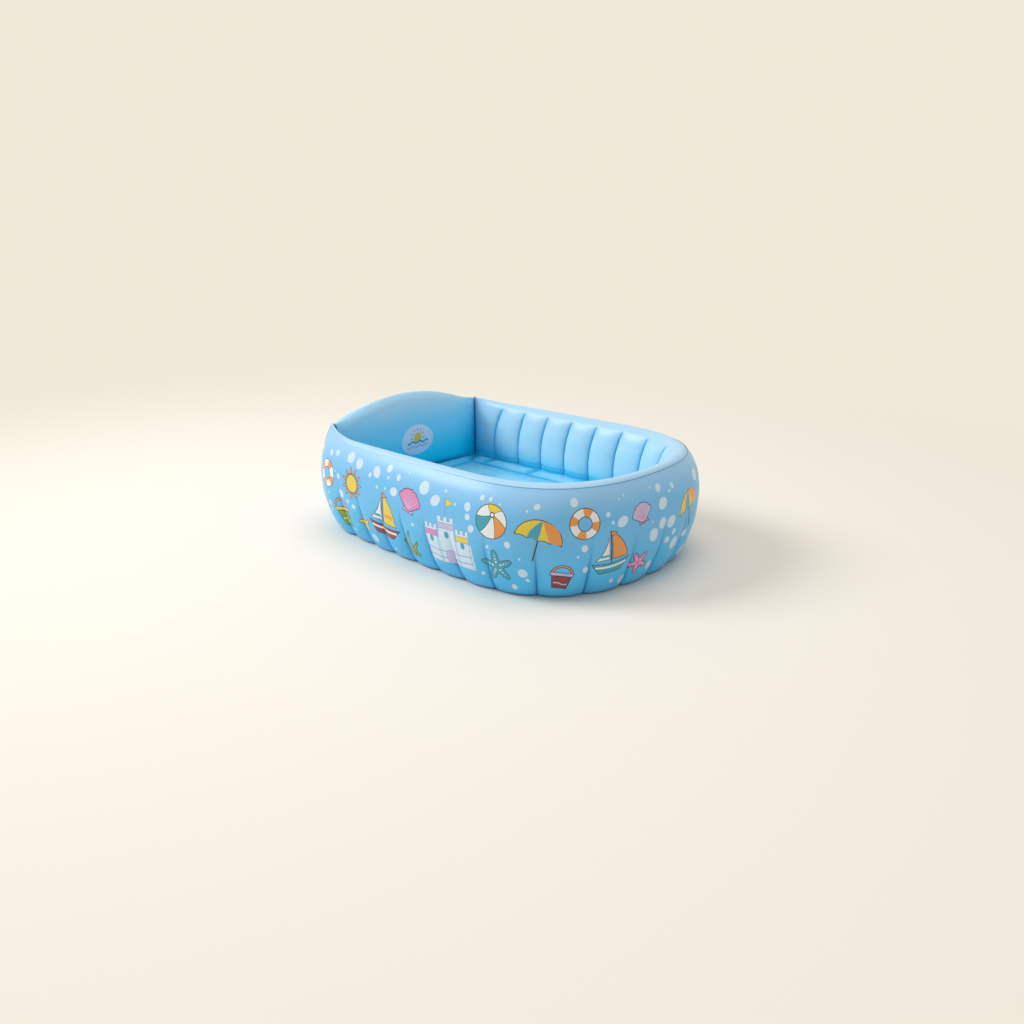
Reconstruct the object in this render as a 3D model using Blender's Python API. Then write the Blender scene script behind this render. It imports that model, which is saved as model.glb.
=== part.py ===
"""Inflatable baby bathtub, inflated and ready for use.

Soft PVC films are welded into three air chambers: the wall, the raised backrest and the floor. Webs tie
the films of the wall and the floor together, and make the grooves and the quilting. Each chamber has a
valve, and a drain goes down through the floor. The tub stands on the XY plane with its centre over the
origin, its head end at -X, and +Z up. Its two long sides mirror each other.
"""

import math

import bmesh
import bpy
import numpy as np
from mathutils import Matrix, Vector
from mathutils.geometry import delaunay_2d_cdt

# Overall sizes of the inflated tub, in metres
TUB_LENGTH = 0.876
TUB_WIDTH = 0.650
WALL_THICKNESS = 0.083
CREST_HEIGHT = 0.244
FLOOR_HEIGHT = 0.090
ARCH_HEIGHT = 0.297

# The floor between the two long walls
FLOOR_HALF_WIDTH = TUB_WIDTH / 2 - WALL_THICKNESS

# Films and the gaps left at their welds
FILM = 0.00035
WELD_GAP = 0.0003
WELD_LAP = 0.008

# Plan outline: straight sides, a round foot end and cornered head end
FOOT_LENGTH = 0.307
FOOT_POWER = 2.4
HEAD_CORNER_RADIUS = 0.130
HEAD_NARROWING = 0.052
EAR_TURN = math.radians(58)
OUTLINE_STEPS = 48
SEARCH_STEPS = 2000

# Inner corners and the backrest
INNER_CORNER_DEPTH = 0.086
BACKREST_BOW = 0.016
BACKREST_BULGE = 0.035
EAR_RISE = 0.015
EAR_FIN = 0.0012
NOTCH_HEIGHT = 0.243

# Outer film
BAND_BOTTOM = 0.122
BAND_TOP = 0.162
SEAM_HEIGHT = 0.238
SEAM_INSET = 0.030
BASE_INSET = 0.045
OUTER_GROOVE = 0.009

# Webs of the wall, spaced evenly along the inside, with one at the middle of the foot end
WEBS_A_SIDE = 10
INNER_GROOVE = 0.012
WEB_CLEARANCE = 0.0006
PARTITION_LEAN = 0.020
HEM_CLEARANCE = 0.0027

# Floor
BORDER_PAD = 0.055
PAD_CROWN = 0.007
CHANNEL_CROWN = 0.010
CHANNEL_SEAM_OFFSET = 0.062
CROSS_SEAM_EVERY = 2
FLOOR_CORNER_SETBACK = 0.0024
SPOT_MARGIN = 0.004
SPOT_CLEAR_SHARE = 1.4
PLAN_TOLERANCE = 0.00003

# Valves: sizes along each valve's own axis are counted from the film
VALVE_HEIGHT = 0.142
VALVE_FLANGE_RADIUS = 0.0165
VALVE_FLANGE_THICKNESS = 0.0009
FLANGE_BEVEL = 0.0003
THROAT_RADIUS = 0.0068
THROAT_WALL = 0.0010
THROAT_DEPTH = 0.012
STEM_BORE_RADIUS = 0.0042
STEM_COLLAR_RADIUS = 0.0084
STEM_COLLAR_THICKNESS = 0.0015
STEM_TRAVEL = 0.010
STEM_LIP_THICKNESS = 0.0013
FLAP_THICKNESS = 0.0008
FLAP_RADIUS = 0.0056
PLUG_HEAD_RADIUS = 0.0064
PLUG_HEAD_THICKNESS = 0.0016
PLUG_SHANK_LENGTH = 0.0085
PLUG_BEVEL = 0.0005
STRAP_WIDTH = 0.0040
STRAP_THICKNESS = 0.0008
STRAP_REACH = 0.0155
STRAP_BEND = 0.0016
RUNNING_GAP = 0.0003
WALL_VALVE_PANEL = 5
FLOOR_VALVE_SETBACK = 0.288
FLOOR_VALVE_X = FLOOR_VALVE_SETBACK - TUB_LENGTH / 2
FLOOR_VALVE_Y = -0.125

# Drain through the floor
DRAIN_SETBACK = 0.203
DRAIN_X = TUB_LENGTH / 2 - DRAIN_SETBACK
DRAIN_Y = 0.0
DRAIN_BORE_RADIUS = 0.0085
DRAIN_TUBE_WALL = 0.0020
DRAIN_FLANGE_RADIUS = 0.0250
DRAIN_FLANGE_LAP = 0.0060
DRAIN_FLANGE_THICKNESS = 0.0010
DRAIN_PLUG_HEAD_RADIUS = 0.0125
DRAIN_PLUG_HEAD_THICKNESS = 0.0022
DRAIN_PLUG_SHANK_LENGTH = 0.0120
DRAIN_STRAP_START = 0.0149
DRAIN_STRAP_REACH = 0.0215
DRAIN_STRAP_DROP = 0.0002

# Facets of the turned pieces
TURN_SEGMENTS = 20

# Columns of the films in one panel between webs, as shares of the panel, with more beside the ears
PANEL_COLUMN_SHARES = (0.0, 0.34, 0.66)
FIRST_PANEL_COLUMN_SHARES = (0.0, 0.16, 0.42, 0.72)
BACKREST_COLUMN_SHARES = (0.0, 0.04, 0.11, 0.2, 0.3, 0.4, 0.5, 0.6, 0.7, 0.8, 0.89, 0.96, 1.0)

# Outer film below its widest band: shares of the band's height, of the base inset and of the groove
LOWER_ROW_SHARES = (
    (0.0, 1.0, 1.0),
    (0.12, 0.7, 1.0),
    (0.32, 0.42, 0.9),
    (0.62, 0.16, 0.5),
)
# Outer film above the band: shares of the rise to the seam, of the seam's inset and of the ear's lift
UPPER_ROW_SHARES = ((0.5, 0.24, 0.0), (0.8, 0.6, 0.3), (1.0, 1.0, 0.6))

# Rim film, over the crest and down the inside: shares of the wall's thickness, of the rise from floor
# to crest, of the groove's depth and of the ear's lift
RIM_ROW_SHARES = (
    (0.43, 0.985, 0.0, 0.6),
    (0.60, 1.0, 0.0, 0.85),
    (0.79, 0.948, 0.15, 1.3),
    (0.93, 0.838, 0.55, 1.1),
    (1.006, 0.695, 0.85, 0.0),
    (1.072, 0.422, 1.0, 0.0),
    (1.055, 0.110, 0.7, 0.0),
    (1.0, 0.0, 0.0, 0.0),
)

# Backrest film from the seam up its back and over the arch: shares of the rise from seam to arch, of the
# way across and of the ear's lift
ARCH_BACK_SHARES = (
    (0.10, 0.40, 0.8),
    (0.55, 0.50, 0.9),
    (0.88, 0.66, 1.0),
    (1.0, 0.86, 0.8),
)
# Its face from the arch down to the floor: shares of the rise from floor to arch, of the way across, of
# the bulge, of the groove beside an ear and of the ear's lift
FACE_SHARES = (
    (0.955, 0.99, 0.15, 0.15, 0.4),
    (0.82, 1.0, 0.62, 0.55, 0.0),
    (0.62, 1.0, 0.93, 0.85, 0.0),
    (0.42, 1.0, 1.0, 1.0, 0.0),
    (0.22, 1.0, 0.8, 0.85, 0.0),
    (0.08, 1.0, 0.42, 0.6, 0.0),
    (0.0, 1.0, 0.0, 0.0, 0.0),
)


def clear_scene():
    for found in list(bpy.data.objects):
        bpy.data.objects.remove(found, do_unlink=True)


def plastic(name, colour, roughness):
    made = bpy.data.materials.new(name)
    made.use_nodes = True
    shader = made.node_tree.nodes["Principled BSDF"]
    shader.inputs["Base Color"].default_value = (*colour, 1)
    shader.inputs["Roughness"].default_value = roughness
    shader.inputs["Metallic"].default_value = 0
    return made


def add_object(name, mesh, material, parent=None):
    made = bpy.data.objects.new(name, mesh)
    bpy.context.scene.collection.objects.link(made)
    mesh.materials.append(material)
    made.parent = parent
    return made


def smooth(mesh, angle=math.radians(35)):
    mesh.shade_smooth()
    mesh.set_sharp_from_angle(angle=angle)


# Plan outlines, each a dense run of points in order round the tub from the middle of the head end


class Outline:
    """A closed or open line in plan, read by distance along it."""

    def __init__(self, points):
        self.points = np.array(points, float)
        steps = np.linalg.norm(np.diff(self.points, axis=0), axis=1)
        self.marks = np.concatenate([[0], np.cumsum(steps)])
        self.length = self.marks[-1]

    def at(self, distances):
        return np.column_stack([np.interp(distances, self.marks, axis) for axis in self.points.T])


def mirrored(half):
    """The near half and its mirror image across the long axis, as one line."""
    half = np.array(half)
    return np.concatenate([half, half[-2::-1] * (1, -1)])


def foot_end(length, half_width):
    turn = np.linspace(0, math.pi / 2, OUTLINE_STEPS)
    start = TUB_LENGTH / 2 - FOOT_LENGTH
    x = start + length * np.sin(turn) ** (2 / FOOT_POWER)
    y = -half_width * np.cos(turn) ** (2 / FOOT_POWER)
    y[-1] = 0
    return np.column_stack([x, y])


def outer_outline():
    """The widest line of the outer film, and the distance along it of the near ear."""
    head, half = -TUB_LENGTH / 2, TUB_WIDTH / 2
    turn = np.linspace(0, math.pi / 2, OUTLINE_STEPS)
    radius = HEAD_CORNER_RADIUS
    middle = [(head, 0)]
    corner = np.column_stack([head + radius * (1 - np.cos(turn)), -(half - radius * (1 - np.sin(turn)))])
    sides = np.linspace(head + radius, TUB_LENGTH / 2 - FOOT_LENGTH, OUTLINE_STEPS)[1:-1]
    straight = np.column_stack([sides, np.full(len(sides), -half)])
    line = np.concatenate([middle, corner, straight, foot_end(FOOT_LENGTH, half)])
    towards_head = np.clip((TUB_LENGTH / 2 - FOOT_LENGTH - line[:, 0]) / (TUB_LENGTH - FOOT_LENGTH), 0, 1)
    line[:, 1] *= 1 - HEAD_NARROWING / half * towards_head**2
    outline = Outline(mirrored(line))
    ear = np.interp(EAR_TURN, turn, outline.marks[1 : 1 + OUTLINE_STEPS])
    return outline, ear


def inner_outline():
    """The floor line of the rim film, from the near ear round the foot end to the far ear."""
    corner = -TUB_LENGTH / 2 + INNER_CORNER_DEPTH
    foot = foot_end(FOOT_LENGTH - WALL_THICKNESS, FLOOR_HALF_WIDTH)
    return Outline(mirrored(np.concatenate([[(corner, -FLOOR_HALF_WIDTH)], foot])))


OUTER, NEAR_EAR = outer_outline()
INNER = inner_outline()
PANELS = 2 * (WEBS_A_SIDE + 1)
PITCH = INNER.length / PANELS


def web_marks_outside():
    """Distances along the outer outline that lie straight across the wall from the webs."""
    marks = [NEAR_EAR]
    for web in range(1, WEBS_A_SIDE + 1):
        here = INNER.at([PITCH * web])[0]
        ahead, behind = INNER.at([PITCH * web + FILM, PITCH * web - FILM])
        along = (ahead - behind) / np.linalg.norm(ahead - behind)
        reach = OUTER.points - here
        off = reach @ along
        outward = reach @ (along[1], -along[0]) > 0
        crossing = [k for k in range(len(off) - 1) if off[k] < 0 <= off[k + 1] and outward[k]][-1]
        share = -off[crossing] / (off[crossing + 1] - off[crossing])
        marks.append(OUTER.marks[crossing] + share * (OUTER.marks[crossing + 1] - OUTER.marks[crossing]))
    near = np.array(marks)
    return np.concatenate([near, [OUTER.length / 2], OUTER.length - near[::-1]])


WEB_MARKS_OUTSIDE = web_marks_outside()
WEB_MARKS_INSIDE = PITCH * np.arange(PANELS + 1)


class Stations:
    """Places round the wall: a point on each outline, the way across, and each panel's bulge there."""

    def __init__(self, outside, inside, bulge, ear):
        self.outside = outside
        self.inside = inside
        reach = inside - outside
        self.thickness = np.linalg.norm(reach, axis=1)
        self.across = reach / self.thickness[:, None]
        self.bulge = np.asarray(bulge, float)
        self.ear = np.asarray(ear, float)

    def row(self, inset, height):
        """Points that lie this far in from the outer outline, at this height."""
        plan = self.outside + self.across * np.broadcast_to(inset, len(self.outside))[:, None]
        return np.column_stack([plan, np.broadcast_to(height, len(plan))])

    def trimmed(self, setback):
        """The same stations, with both end ones moved along the facet beside them, clear of a divider."""
        ends = []
        for values in (self.outside, self.inside, self.bulge, self.ear):
            moved = values.copy()
            for end, beside in ((0, 1), (-1, -2)):
                share = setback / np.linalg.norm(self.inside[beside] - self.inside[end])
                moved[end] += (values[beside] - values[end]) * share
            ends.append(moved)
        return Stations(*ends)

    def joined(self, other):
        return Stations(
            np.concatenate([self.outside, other.outside]),
            np.concatenate([self.inside, other.inside]),
            np.concatenate([self.bulge, other.bulge]),
            np.concatenate([self.ear, other.ear]),
        )


def side_columns():
    """Web numbers, with fractions, of the columns from the near ear to the far ear."""
    last = PANELS - 1
    columns = [share for share in FIRST_PANEL_COLUMN_SHARES]
    for panel in range(1, last):
        columns += [panel + share for share in PANEL_COLUMN_SHARES]
    columns += [last] + [PANELS - share for share in FIRST_PANEL_COLUMN_SHARES[::-1]]
    return np.array(columns)


def side_stations(columns):
    webs = np.arange(PANELS + 1)
    outside = OUTER.at(np.interp(columns, webs, WEB_MARKS_OUTSIDE))
    inside = INNER.at(np.interp(columns, webs, WEB_MARKS_INSIDE))
    share = columns - np.floor(columns)
    bulge = 1 - (2 * share - 1) ** 2
    from_ear = np.minimum(columns, PANELS - columns) / FIRST_PANEL_COLUMN_SHARES[1]
    return Stations(outside, inside, bulge, np.clip(1 - from_ear, 0, 1) ** 2)


def head_stations(columns):
    """Stations across the head end, from the far ear to the near ear."""
    columns = np.asarray(columns, float)
    outside = OUTER.at(NEAR_EAR * (2 * columns - 1) % OUTER.length)
    side = 1 - 2 * columns
    x = -TUB_LENGTH / 2 + INNER_CORNER_DEPTH - BACKREST_BOW * (1 - side**2)
    inside = np.column_stack([x, FLOOR_HALF_WIDTH * side])
    near_ear = np.clip(1 - np.minimum(columns, 1 - columns) / BACKREST_COLUMN_SHARES[2], 0, 1)
    return Stations(outside, inside, 1 - near_ear**2, near_ear**2)


# The films' surfaces, as rows of points up or down the section, one point a station


def outer_rows(stations):
    """From the hem on the bottom film up to the seam."""
    base = FILM + WELD_GAP + FILM / 2
    relief = stations.thickness / WALL_THICKNESS
    drawn_in = OUTER_GROOVE * (1 - stations.bulge)
    most = stations.thickness + PARTITION_LEAN - HEM_CLEARANCE
    hem = np.minimum(BASE_INSET + drawn_in + WELD_LAP, most)
    rows = [stations.row(hem, base)]
    for up, inset, groove in LOWER_ROW_SHARES:
        height = base + (BAND_BOTTOM - base) * up
        rows.append(stations.row(BASE_INSET * inset + drawn_in * groove, height))
    rows += [stations.row(0, BAND_BOTTOM), stations.row(0, BAND_TOP)]
    for up, inset, lift in UPPER_ROW_SHARES:
        height = BAND_TOP + (SEAM_HEIGHT - BAND_TOP) * up + EAR_RISE * lift * stations.ear
        rows.append(stations.row(SEAM_INSET * inset * relief, height))
    return rows


def lap_rows(stations):
    """The strip of an inner film that lies welded against the inside of the outer film's top edge."""
    low, top = outer_rows(stations)[-2:]
    along = (low - top) / np.linalg.norm(low - top, axis=1)[:, None]
    upward = (along[:, :2] * stations.across).sum(axis=1)
    inward = np.column_stack([-stations.across * along[:, 2:], upward])
    shift = (FILM + WELD_GAP) * inward
    return [low + shift, top + shift]


def partition_row(stations):
    """The foot of an inner film, on the bottom film, where it parts the wall's air from the floor's."""
    return stations.row(stations.thickness + PARTITION_LEAN, FILM + WEB_CLEARANCE)


def rim_rows(stations):
    """From the lap at the seam, over the crest, down the inside to the floor and the bottom film."""
    relief = np.minimum(stations.thickness / WALL_THICKNESS, 1)
    rows = lap_rows(stations)
    for across, up, groove, lift in RIM_ROW_SHARES:
        inset = stations.thickness * across - INNER_GROOVE * groove * relief * (1 - stations.bulge)
        height = FLOOR_HEIGHT + (CREST_HEIGHT - FLOOR_HEIGHT) * up + EAR_RISE * lift * stations.ear
        rows.append(stations.row(inset, height))
    return rows + [partition_row(stations)]


def backrest_rows(stations):
    """From the lap at the seam, up the back, over the arch and down the face to the bottom film."""
    relief = np.minimum(stations.thickness / WALL_THICKNESS, 1)
    crown = np.clip(1 - (stations.inside[:, 1] / FLOOR_HALF_WIDTH) ** 2, 0, 1)
    arch = NOTCH_HEIGHT + (ARCH_HEIGHT - NOTCH_HEIGHT) * crown
    rows = lap_rows(stations)
    for up, across, lift in ARCH_BACK_SHARES:
        height = SEAM_HEIGHT + (arch - SEAM_HEIGHT) * up + EAR_RISE * lift * stations.ear
        rows.append(stations.row(stations.thickness * across, height))
    for up, across, bulge, groove, lift in FACE_SHARES:
        height = FLOOR_HEIGHT + (arch - FLOOR_HEIGHT) * up + EAR_RISE * lift * stations.ear
        swell = BACKREST_BULGE * bulge * np.sqrt(crown)
        drawn_back = INNER_GROOVE * groove * relief * (1 - stations.bulge)
        inset = stations.thickness * across + swell - drawn_back
        rows.append(stations.row(inset, height))
    return rows + [partition_row(stations)]


def film(name, rows, material, closed=False):
    """A film welded to shape: a net of points, given the film's thickness."""
    mesh = bpy.data.meshes.new(name)
    wide = len(rows[0])
    faces = []
    for low in range(len(rows) - 1):
        for left in range(wide if closed else wide - 1):
            right = (left + 1) % wide
            corner = low * wide
            faces.append((corner + left, corner + right, corner + wide + right, corner + wide + left))
    mesh.from_pydata(np.concatenate(rows).tolist(), [], faces)
    smooth(mesh)
    made = add_object(name, mesh, material)
    thicken(made)
    return made


def thicken(made):
    solid = made.modifiers.new("film", "SOLIDIFY")
    solid.thickness = FILM
    solid.offset = 0
    solid.use_even_offset = True


def cut(made, cutter, name):
    hole = made.modifiers.new(name, "BOOLEAN")
    hole.operation = "DIFFERENCE"
    hole.solver = "EXACT"
    hole.object = cutter


def plate(name, outline, origin, across, material):
    """A flat upright sheet across the wall: its outline is given as distance across and height."""
    mesh = bpy.data.meshes.new(name)
    aside = Vector((-across[1], across[0], 0)) * FILM / 2
    built = bmesh.new()
    rings = []
    for side in (-1, 1):
        ring = []
        for reach, height in outline:
            ring.append(built.verts.new(Vector((*(origin + across * reach), height)) + aside * side))
        rings.append(ring)
    count = len(outline)
    built.faces.new(rings[0])
    built.faces.new(rings[1][::-1])
    for k in range(count):
        after = (k + 1) % count
        built.faces.new((rings[0][k], rings[1][k], rings[1][after], rings[0][after]))
    bmesh.ops.recalc_face_normals(built, faces=built.faces)
    built.to_mesh(mesh)
    built.free()
    return add_object(name, mesh, material)


def insets(stations, rows):
    """Distances across and heights of the first station's point in each row."""
    return [((row[0, :2] - stations.outside[0]) @ stations.across[0], row[0, 2]) for row in rows]


def add_wall_films(material):
    sides = side_stations(side_columns())
    head = head_stations(BACKREST_COLUMN_SHARES)
    between = head_stations(BACKREST_COLUMN_SHARES[1:-1])
    printed = film("outer_film", outer_rows(sides.joined(between)), material("outer_film"), closed=True)
    # An inner film stops just short of the divider at each ear
    setback = FILM + WEB_CLEARANCE
    film("rim_film", rim_rows(sides.trimmed(setback)), material("rim_film"))
    film("backrest_film", backrest_rows(head.trimmed(2 * setback)), material("backrest_film"))
    return printed, sides.joined(between)


def add_dividers(material):
    for name, column in (("corner_divider_near", 0), ("corner_divider_far", PANELS)):
        ear = side_stations(np.array([column], float))
        outer = insets(ear, outer_rows(ear))
        rim = insets(ear, rim_rows(ear))
        low = FILM + WELD_GAP + FILM + WEB_CLEARANCE
        outside = [(reach + WEB_CLEARANCE, height) for reach, height in outer[2:]]
        fin = [(reach, height + EAR_FIN) for reach, height in rim[3:5]]
        inside = [(reach + EAR_FIN, height) for reach, height in rim[5:-2]]
        foot = [(rim[-2][0] - WEB_CLEARANCE, rim[-2][1]), (rim[-1][0] - WEB_CLEARANCE, low)]
        start = [(outer[1][0] + WEB_CLEARANCE, low)]
        plate(name, start + outside + fin + inside + foot, ear.outside[0], ear.across[0], material(name))


def add_wall_webs(material):
    for web in range(1, PANELS):
        here = side_stations(np.array([web], float))
        outer = insets(here, outer_rows(here))
        rim = insets(here, rim_rows(here))
        low = FILM + WELD_GAP + FILM + WEB_CLEARANCE
        outside = [(outer[1][0] + WEB_CLEARANCE, low)]
        outside += [(reach + WEB_CLEARANCE, height) for reach, height in outer[2:6]]
        inside = [(reach - WEB_CLEARANCE, height) for reach, height in rim[6:-1]]
        inside += [(rim[-1][0] - WEB_CLEARANCE, low)]
        name = f"wall_web_{web:02d}"
        plate(name, outside + inside, here.outside[0], here.across[0], material("wall_web"))


# The floor cushion


def border_outline():
    """The border seam of the floor, parallel to its edge, from the middle of the head end and back."""
    half = FLOOR_HALF_WIDTH - BORDER_PAD
    head = -TUB_LENGTH / 2 + INNER_CORNER_DEPTH - BACKREST_BOW + BORDER_PAD
    foot = foot_end(FOOT_LENGTH - WALL_THICKNESS - BORDER_PAD, half)
    return Outline(mirrored(np.concatenate([[(head, 0), (head, -half)], foot])))


BORDER = border_outline()


def spread(outline, spacing):
    """Evenly spread points along an outline, both ends kept."""
    count = round(outline.length / spacing)
    return outline.at(np.linspace(0, outline.length, count + 1))


def floor_edge():
    """The closed edge of the floor's top film, just inside the rim film and the backrest film."""
    columns = side_columns()[1:-1]
    sides = side_stations(columns)
    head = head_stations(BACKREST_COLUMN_SHARES[2:-2])
    ears = side_stations(np.array([0, PANELS], float))
    corners = ears.row(ears.thickness + FLOOR_CORNER_SETBACK, 0)[:, :2]
    setback = FILM + WEB_CLEARANCE
    along_sides = sides.row(sides.thickness + setback, 0)[:, :2]
    along_head = head.row(head.thickness + setback, 0)[:, :2]
    return np.concatenate([along_sides, corners[1:], along_head, corners[:1]])


def channel_seams():
    """The two lengthwise seams inside the border, each as its two ends."""
    head = BORDER.points[0, 0]
    near = foot_reach(CHANNEL_SEAM_OFFSET)
    return [((head, side * CHANNEL_SEAM_OFFSET), (near, side * CHANNEL_SEAM_OFFSET)) for side in (-1, 1)]


def foot_reach(offset):
    """Where the border seam's foot end lies at this distance from the long axis."""
    half = FLOOR_HALF_WIDTH - BORDER_PAD
    length = FOOT_LENGTH - WALL_THICKNESS - BORDER_PAD
    start = TUB_LENGTH / 2 - FOOT_LENGTH
    return start + length * (1 - abs(offset / half) ** FOOT_POWER) ** (1 / FOOT_POWER)


def border_cross_seams():
    """Short seams across the border pads: a mitre at each head corner and one at every few webs."""
    seams = []
    half = FLOOR_HALF_WIDTH
    head = BORDER.points[0, 0]
    for side in (-1, 1):
        corner = (-TUB_LENGTH / 2 + INNER_CORNER_DEPTH, side * half)
        seams.append((corner, (head, side * (half - BORDER_PAD))))
    for web in range(1 + CROSS_SEAM_EVERY, PANELS, CROSS_SEAM_EVERY):
        wall = INNER.at([PITCH * web])[0]
        dense = BORDER.at(np.linspace(0, BORDER.length, SEARCH_STEPS))
        gaps = np.linalg.norm(dense - wall, axis=1)
        seams.append((tuple(wall), tuple(dense[gaps.argmin()])))
    return seams


def to_segments(points, starts, ends):
    """The distance from each point to the nearest of these straight segments."""
    starts, ends = np.array(starts, float), np.array(ends, float)
    run = ends - starts
    reach = points[:, None] - starts[None]
    share = np.clip((reach * run).sum(axis=2) / np.maximum((run**2).sum(axis=1), FILM**2), 0, 1)
    return np.linalg.norm(reach - share[..., None] * run, axis=2).min(axis=1)


def floor_rise(points):
    """How far the inflated top film stands above its seams."""
    edge = np.concatenate([INNER.points, head_stations(BACKREST_COLUMN_SHARES).inside])
    to_edge = to_segments(points, edge, np.roll(edge, -1, axis=0))
    border = spread(BORDER, PITCH / 4)
    to_border = to_segments(points, border[:-1], border[1:])
    cross = border_cross_seams()
    to_cross = to_segments(points, [a for a, b in cross], [b for a, b in cross])
    channels = channel_seams()
    to_channel = to_segments(points, [a for a, b in channels], [b for a, b in channels])
    pad = np.minimum(np.minimum(to_edge, to_border), to_cross) / (BORDER_PAD / 2)
    channel = np.minimum(to_border, to_channel) / CHANNEL_SEAM_OFFSET
    inside = np.array([within(point, border) for point in points])
    rise = np.where(
        inside,
        CHANNEL_CROWN * (1 - (1 - np.minimum(channel, 1)) ** 2),
        PAD_CROWN * (1 - (1 - np.minimum(pad, 1)) ** 2),
    )
    for centre, radius in flat_spots():
        away = np.linalg.norm(points - centre, axis=1)
        share = np.clip((away - radius) / radius, 0, 1)
        rise = CHANNEL_CROWN + (rise - CHANNEL_CROWN) * share * share * (3 - 2 * share)
    return rise


def flat_spots():
    """Where a flange is welded to the floor's top film: centre and radius of the flat film under it."""
    return (
        (np.array([FLOOR_VALVE_X, FLOOR_VALVE_Y]), VALVE_FLANGE_RADIUS + SPOT_MARGIN),
        (np.array([DRAIN_X, DRAIN_Y]), DRAIN_FLANGE_RADIUS + SPOT_MARGIN),
    )


def circle(centre, radius, count):
    turn = np.arange(count) * 2 * math.pi / count
    return np.asarray(centre) + radius * np.column_stack([np.cos(turn), np.sin(turn)])


def sheet(name, edge, holes, lines, spots, height, material):
    """A film cut to a closed edge with round holes. Lines and spots are points that shape its surface."""
    points, edges = list(map(tuple, edge)), []
    loops = [list(range(len(points)))]
    for hole in holes:
        loops.append(list(range(len(points), len(points) + len(hole))))
        points += list(map(tuple, hole))
    for loop in loops:
        edges += [(a, b) for a, b in zip(loop, loop[1:] + loop[:1])]
    for line in lines:
        first = len(points)
        points += list(map(tuple, line))
        edges += [(k, k + 1) for k in range(first, len(points) - 1)]
    points += list(map(tuple, spots))
    found = delaunay_2d_cdt([Vector(point) for point in points], edges, [], 0, PLAN_TOLERANCE)
    plan, faces = np.array([tuple(point) for point in found[0]]), found[2]
    kept = []
    for face in faces:
        middle = plan[list(face)].mean(axis=0)
        if within(middle, edge) and not any(within(middle, hole) for hole in holes):
            kept.append(tuple(face))
    mesh = bpy.data.meshes.new(name)
    mesh.from_pydata(np.column_stack([plan, height(plan)]).tolist(), [], kept)
    built = bmesh.new()
    built.from_mesh(mesh)
    loose = [corner for corner in built.verts if not corner.link_faces]
    bmesh.ops.delete(built, geom=loose, context="VERTS")
    bmesh.ops.recalc_face_normals(built, faces=built.faces)
    built.to_mesh(mesh)
    built.free()
    smooth(mesh)
    made = add_object(name, mesh, material)
    thicken(made)
    return made


def within(point, polygon):
    """Whether a point lies inside a closed polygon."""
    polygon = np.asarray(polygon)
    ahead = np.roll(polygon, -1, axis=0)
    spans = (polygon[:, 1] > point[1]) != (ahead[:, 1] > point[1])
    start, end = polygon[spans], ahead[spans]
    share = (point[1] - start[:, 1]) / (end[:, 1] - start[:, 1])
    crossing = start[:, 0] + share * (end[:, 0] - start[:, 0])
    return (crossing > point[0]).sum() % 2 == 1


def valve_hole_radius():
    return THROAT_RADIUS + THROAT_WALL + WEB_CLEARANCE


def drain_hole_radius():
    """The hole in both films of the floor, which the socket's flanges overlap."""
    return DRAIN_FLANGE_RADIUS - DRAIN_FLANGE_LAP


def clear_of_spots(points):
    kept = np.ones(len(points), bool)
    for centre, radius in flat_spots():
        kept &= np.linalg.norm(points - centre, axis=1) > radius * SPOT_CLEAR_SHARE
    return points[kept]


def add_floor(material, stations):
    border = spread(BORDER, PITCH / 2)
    sides = side_stations(side_columns()[1:-1:2])
    head = head_stations(BACKREST_COLUMN_SHARES[3:-3])
    halfway = BORDER_PAD / 2
    middle_of_pad = np.concatenate(
        [
            sides.row(sides.thickness + halfway, 0)[2:-2, :2],
            head.row(head.thickness + halfway, 0)[:, :2],
        ]
    )
    lines = [border]
    for start, end in channel_seams():
        run = np.linspace(0, 1, round((end[0] - start[0]) / PITCH) + 1)[1:-1, None]
        lines.append(np.array(start) + (np.array(end) - np.array(start)) * run)
    for start, end in border_cross_seams():
        share = np.array([[WELD_LAP / BORDER_PAD], [0.5]])
        lines.append(np.array(start) + (np.array(end) - np.array(start)) * share)
    crowns = []
    for side in (-1, 0, 1):
        offset = side * 2 * CHANNEL_SEAM_OFFSET
        end = foot_reach(offset) - CHANNEL_SEAM_OFFSET / 2
        start = BORDER.points[0, 0] + CHANNEL_SEAM_OFFSET / 2
        for x in np.linspace(start, end, round((end - start) / PITCH) + 1):
            crowns.append((x, offset))
    spots = [clear_of_spots(np.array(crowns)), middle_of_pad]
    holes = []
    hole_radii = (valve_hole_radius(), drain_hole_radius())
    for (centre, radius), hole in zip(flat_spots(), hole_radii):
        holes.append(circle(centre, hole + WELD_GAP, TURN_SEGMENTS))
        spots.append(circle(centre, radius, TURN_SEGMENTS))
    sheet(
        "floor_top_film",
        floor_edge(),
        holes,
        lines,
        np.concatenate(spots),
        lambda plan: FLOOR_HEIGHT + floor_rise(plan),
        material("floor_top_film"),
    )
    edge = outer_rows(stations)[1][:, :2] + stations.across * FILM
    drain = circle((DRAIN_X, DRAIN_Y), drain_hole_radius(), TURN_SEGMENTS)
    nothing = np.empty((0, 2))
    level = FILM / 2
    sheet(
        "floor_bottom_film",
        edge,
        [drain],
        [],
        nothing,
        lambda plan: np.full(len(plan), level),
        material("floor_bottom_film"),
    )


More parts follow.
